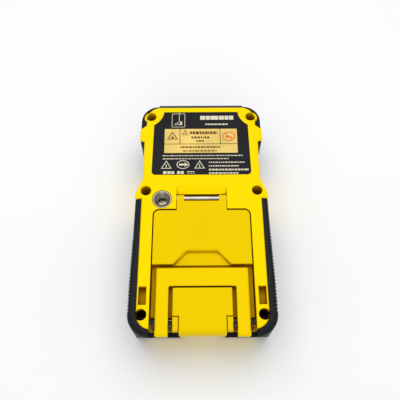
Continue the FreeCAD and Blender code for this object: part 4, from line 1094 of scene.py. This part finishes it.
class METER_OT_stage(bpy.types.Operator):
    """Pale table, soft lights and the camera"""
    bl_idname = "meter.stage"
    bl_label = "Stage"

    def execute(self, context):
        stage = context.scene.meter_stage
        self.table(stage)
        self.lights(context, stage)
        self.camera(context, stage)
        return {"FINISHED"}

    def table(self, stage):
        """A wide round table top, with one inset ring near its rim."""
        clear_selection()
        bpy.ops.mesh.primitive_circle_add(vertices=stage.floor_segments, radius=4.0, fill_type="NGON",
                                          location=(0, 0, 0))
        table = bpy.context.active_object
        table.name = table.data.name = "table"
        bpy.ops.object.mode_set(mode="EDIT")
        bpy.ops.mesh.select_all(action="SELECT")
        bpy.ops.mesh.inset(thickness=0.02)
        bpy.ops.object.mode_set(mode="OBJECT")
        table.data.materials.append(floor_finish("table_top", stage.floor))

    def lights(self, context, stage):
        world = bpy.data.worlds.new("room")
        context.scene.world = world
        world.use_nodes = True
        ground = world.node_tree.nodes["Background"]
        ground.inputs["Color"].default_value = (0.98, 0.99, 1.0, 1.0)
        ground.inputs["Strength"].default_value = stage.world
        self.softbox("overhead", (0.0, 0.25, 0.75), (0.0, 0.02, 0.0), 0.9, 0.7, stage.top)
        self.softbox("front", (0.0, -0.62, 0.30), (0.0, -0.03, 0.02), 0.5, 0.3, stage.front)

    def softbox(self, name, place, aim, width, depth, power):
        bpy.ops.object.light_add(type="AREA", location=place)
        light = bpy.context.active_object
        light.name = light.data.name = "softbox_" + name
        light.data.shape, light.data.size, light.data.size_y = "RECTANGLE", width, depth
        light.data.energy = power
        light.rotation_euler = (Vector(aim) - Vector(place)).to_track_quat("-Z", "Y").to_euler()

    def camera(self, context, stage):
        bpy.ops.object.camera_add(location=(stage.camera_x, -stage.camera_y, stage.camera_z),
                                  rotation=(math.pi / 2 - stage.elevation, 0, stage.yaw))
        camera = bpy.context.active_object
        camera.name = "camera"
        camera.data.lens, camera.data.sensor_width = stage.lens, 36.0
        camera.data.clip_start = 0.01
        context.scene.camera = camera
        context.scene.view_settings.view_transform = "Standard"


OPERATORS = (
    METER_OT_shells, METER_OT_cover, METER_OT_rubber, METER_OT_fittings, METER_OT_tripod_insert,
    METER_OT_label, METER_OT_battery_bay, METER_OT_display_side, METER_OT_laser_end,
    METER_OT_circuit, METER_OT_stage,
)


class METER_PT_sidebar(bpy.types.Panel):
    """Lists the steps that finish the meter"""
    bl_idname = "METER_PT_sidebar"
    bl_label = "Distance meter"
    bl_space_type = "VIEW_3D"
    bl_region_type = "UI"
    bl_category = "Meter"

    def draw(self, context):
        for operator in OPERATORS:
            self.layout.operator(operator.bl_idname)


CLASSES = (MeterColours, MeterSizes, MeterStage, *OPERATORS, METER_PT_sidebar)
SETTINGS = {"meter_colours": MeterColours, "meter_sizes": MeterSizes, "meter_stage": MeterStage}


def register():
    for item in CLASSES:
        bpy.utils.register_class(item)
    for name, group in SETTINGS.items():
        setattr(bpy.types.Scene, name, PointerProperty(type=group))


def unregister():
    for name in SETTINGS:
        delattr(bpy.types.Scene, name)
    for item in reversed(CLASSES):
        bpy.utils.unregister_class(item)


def main():
    """Runs every step in order."""
    register()
    for operator in OPERATORS:
        group, name = operator.bl_idname.split(".")
        getattr(getattr(bpy.ops, group), name)()


if __name__ == "__main__":
    main()
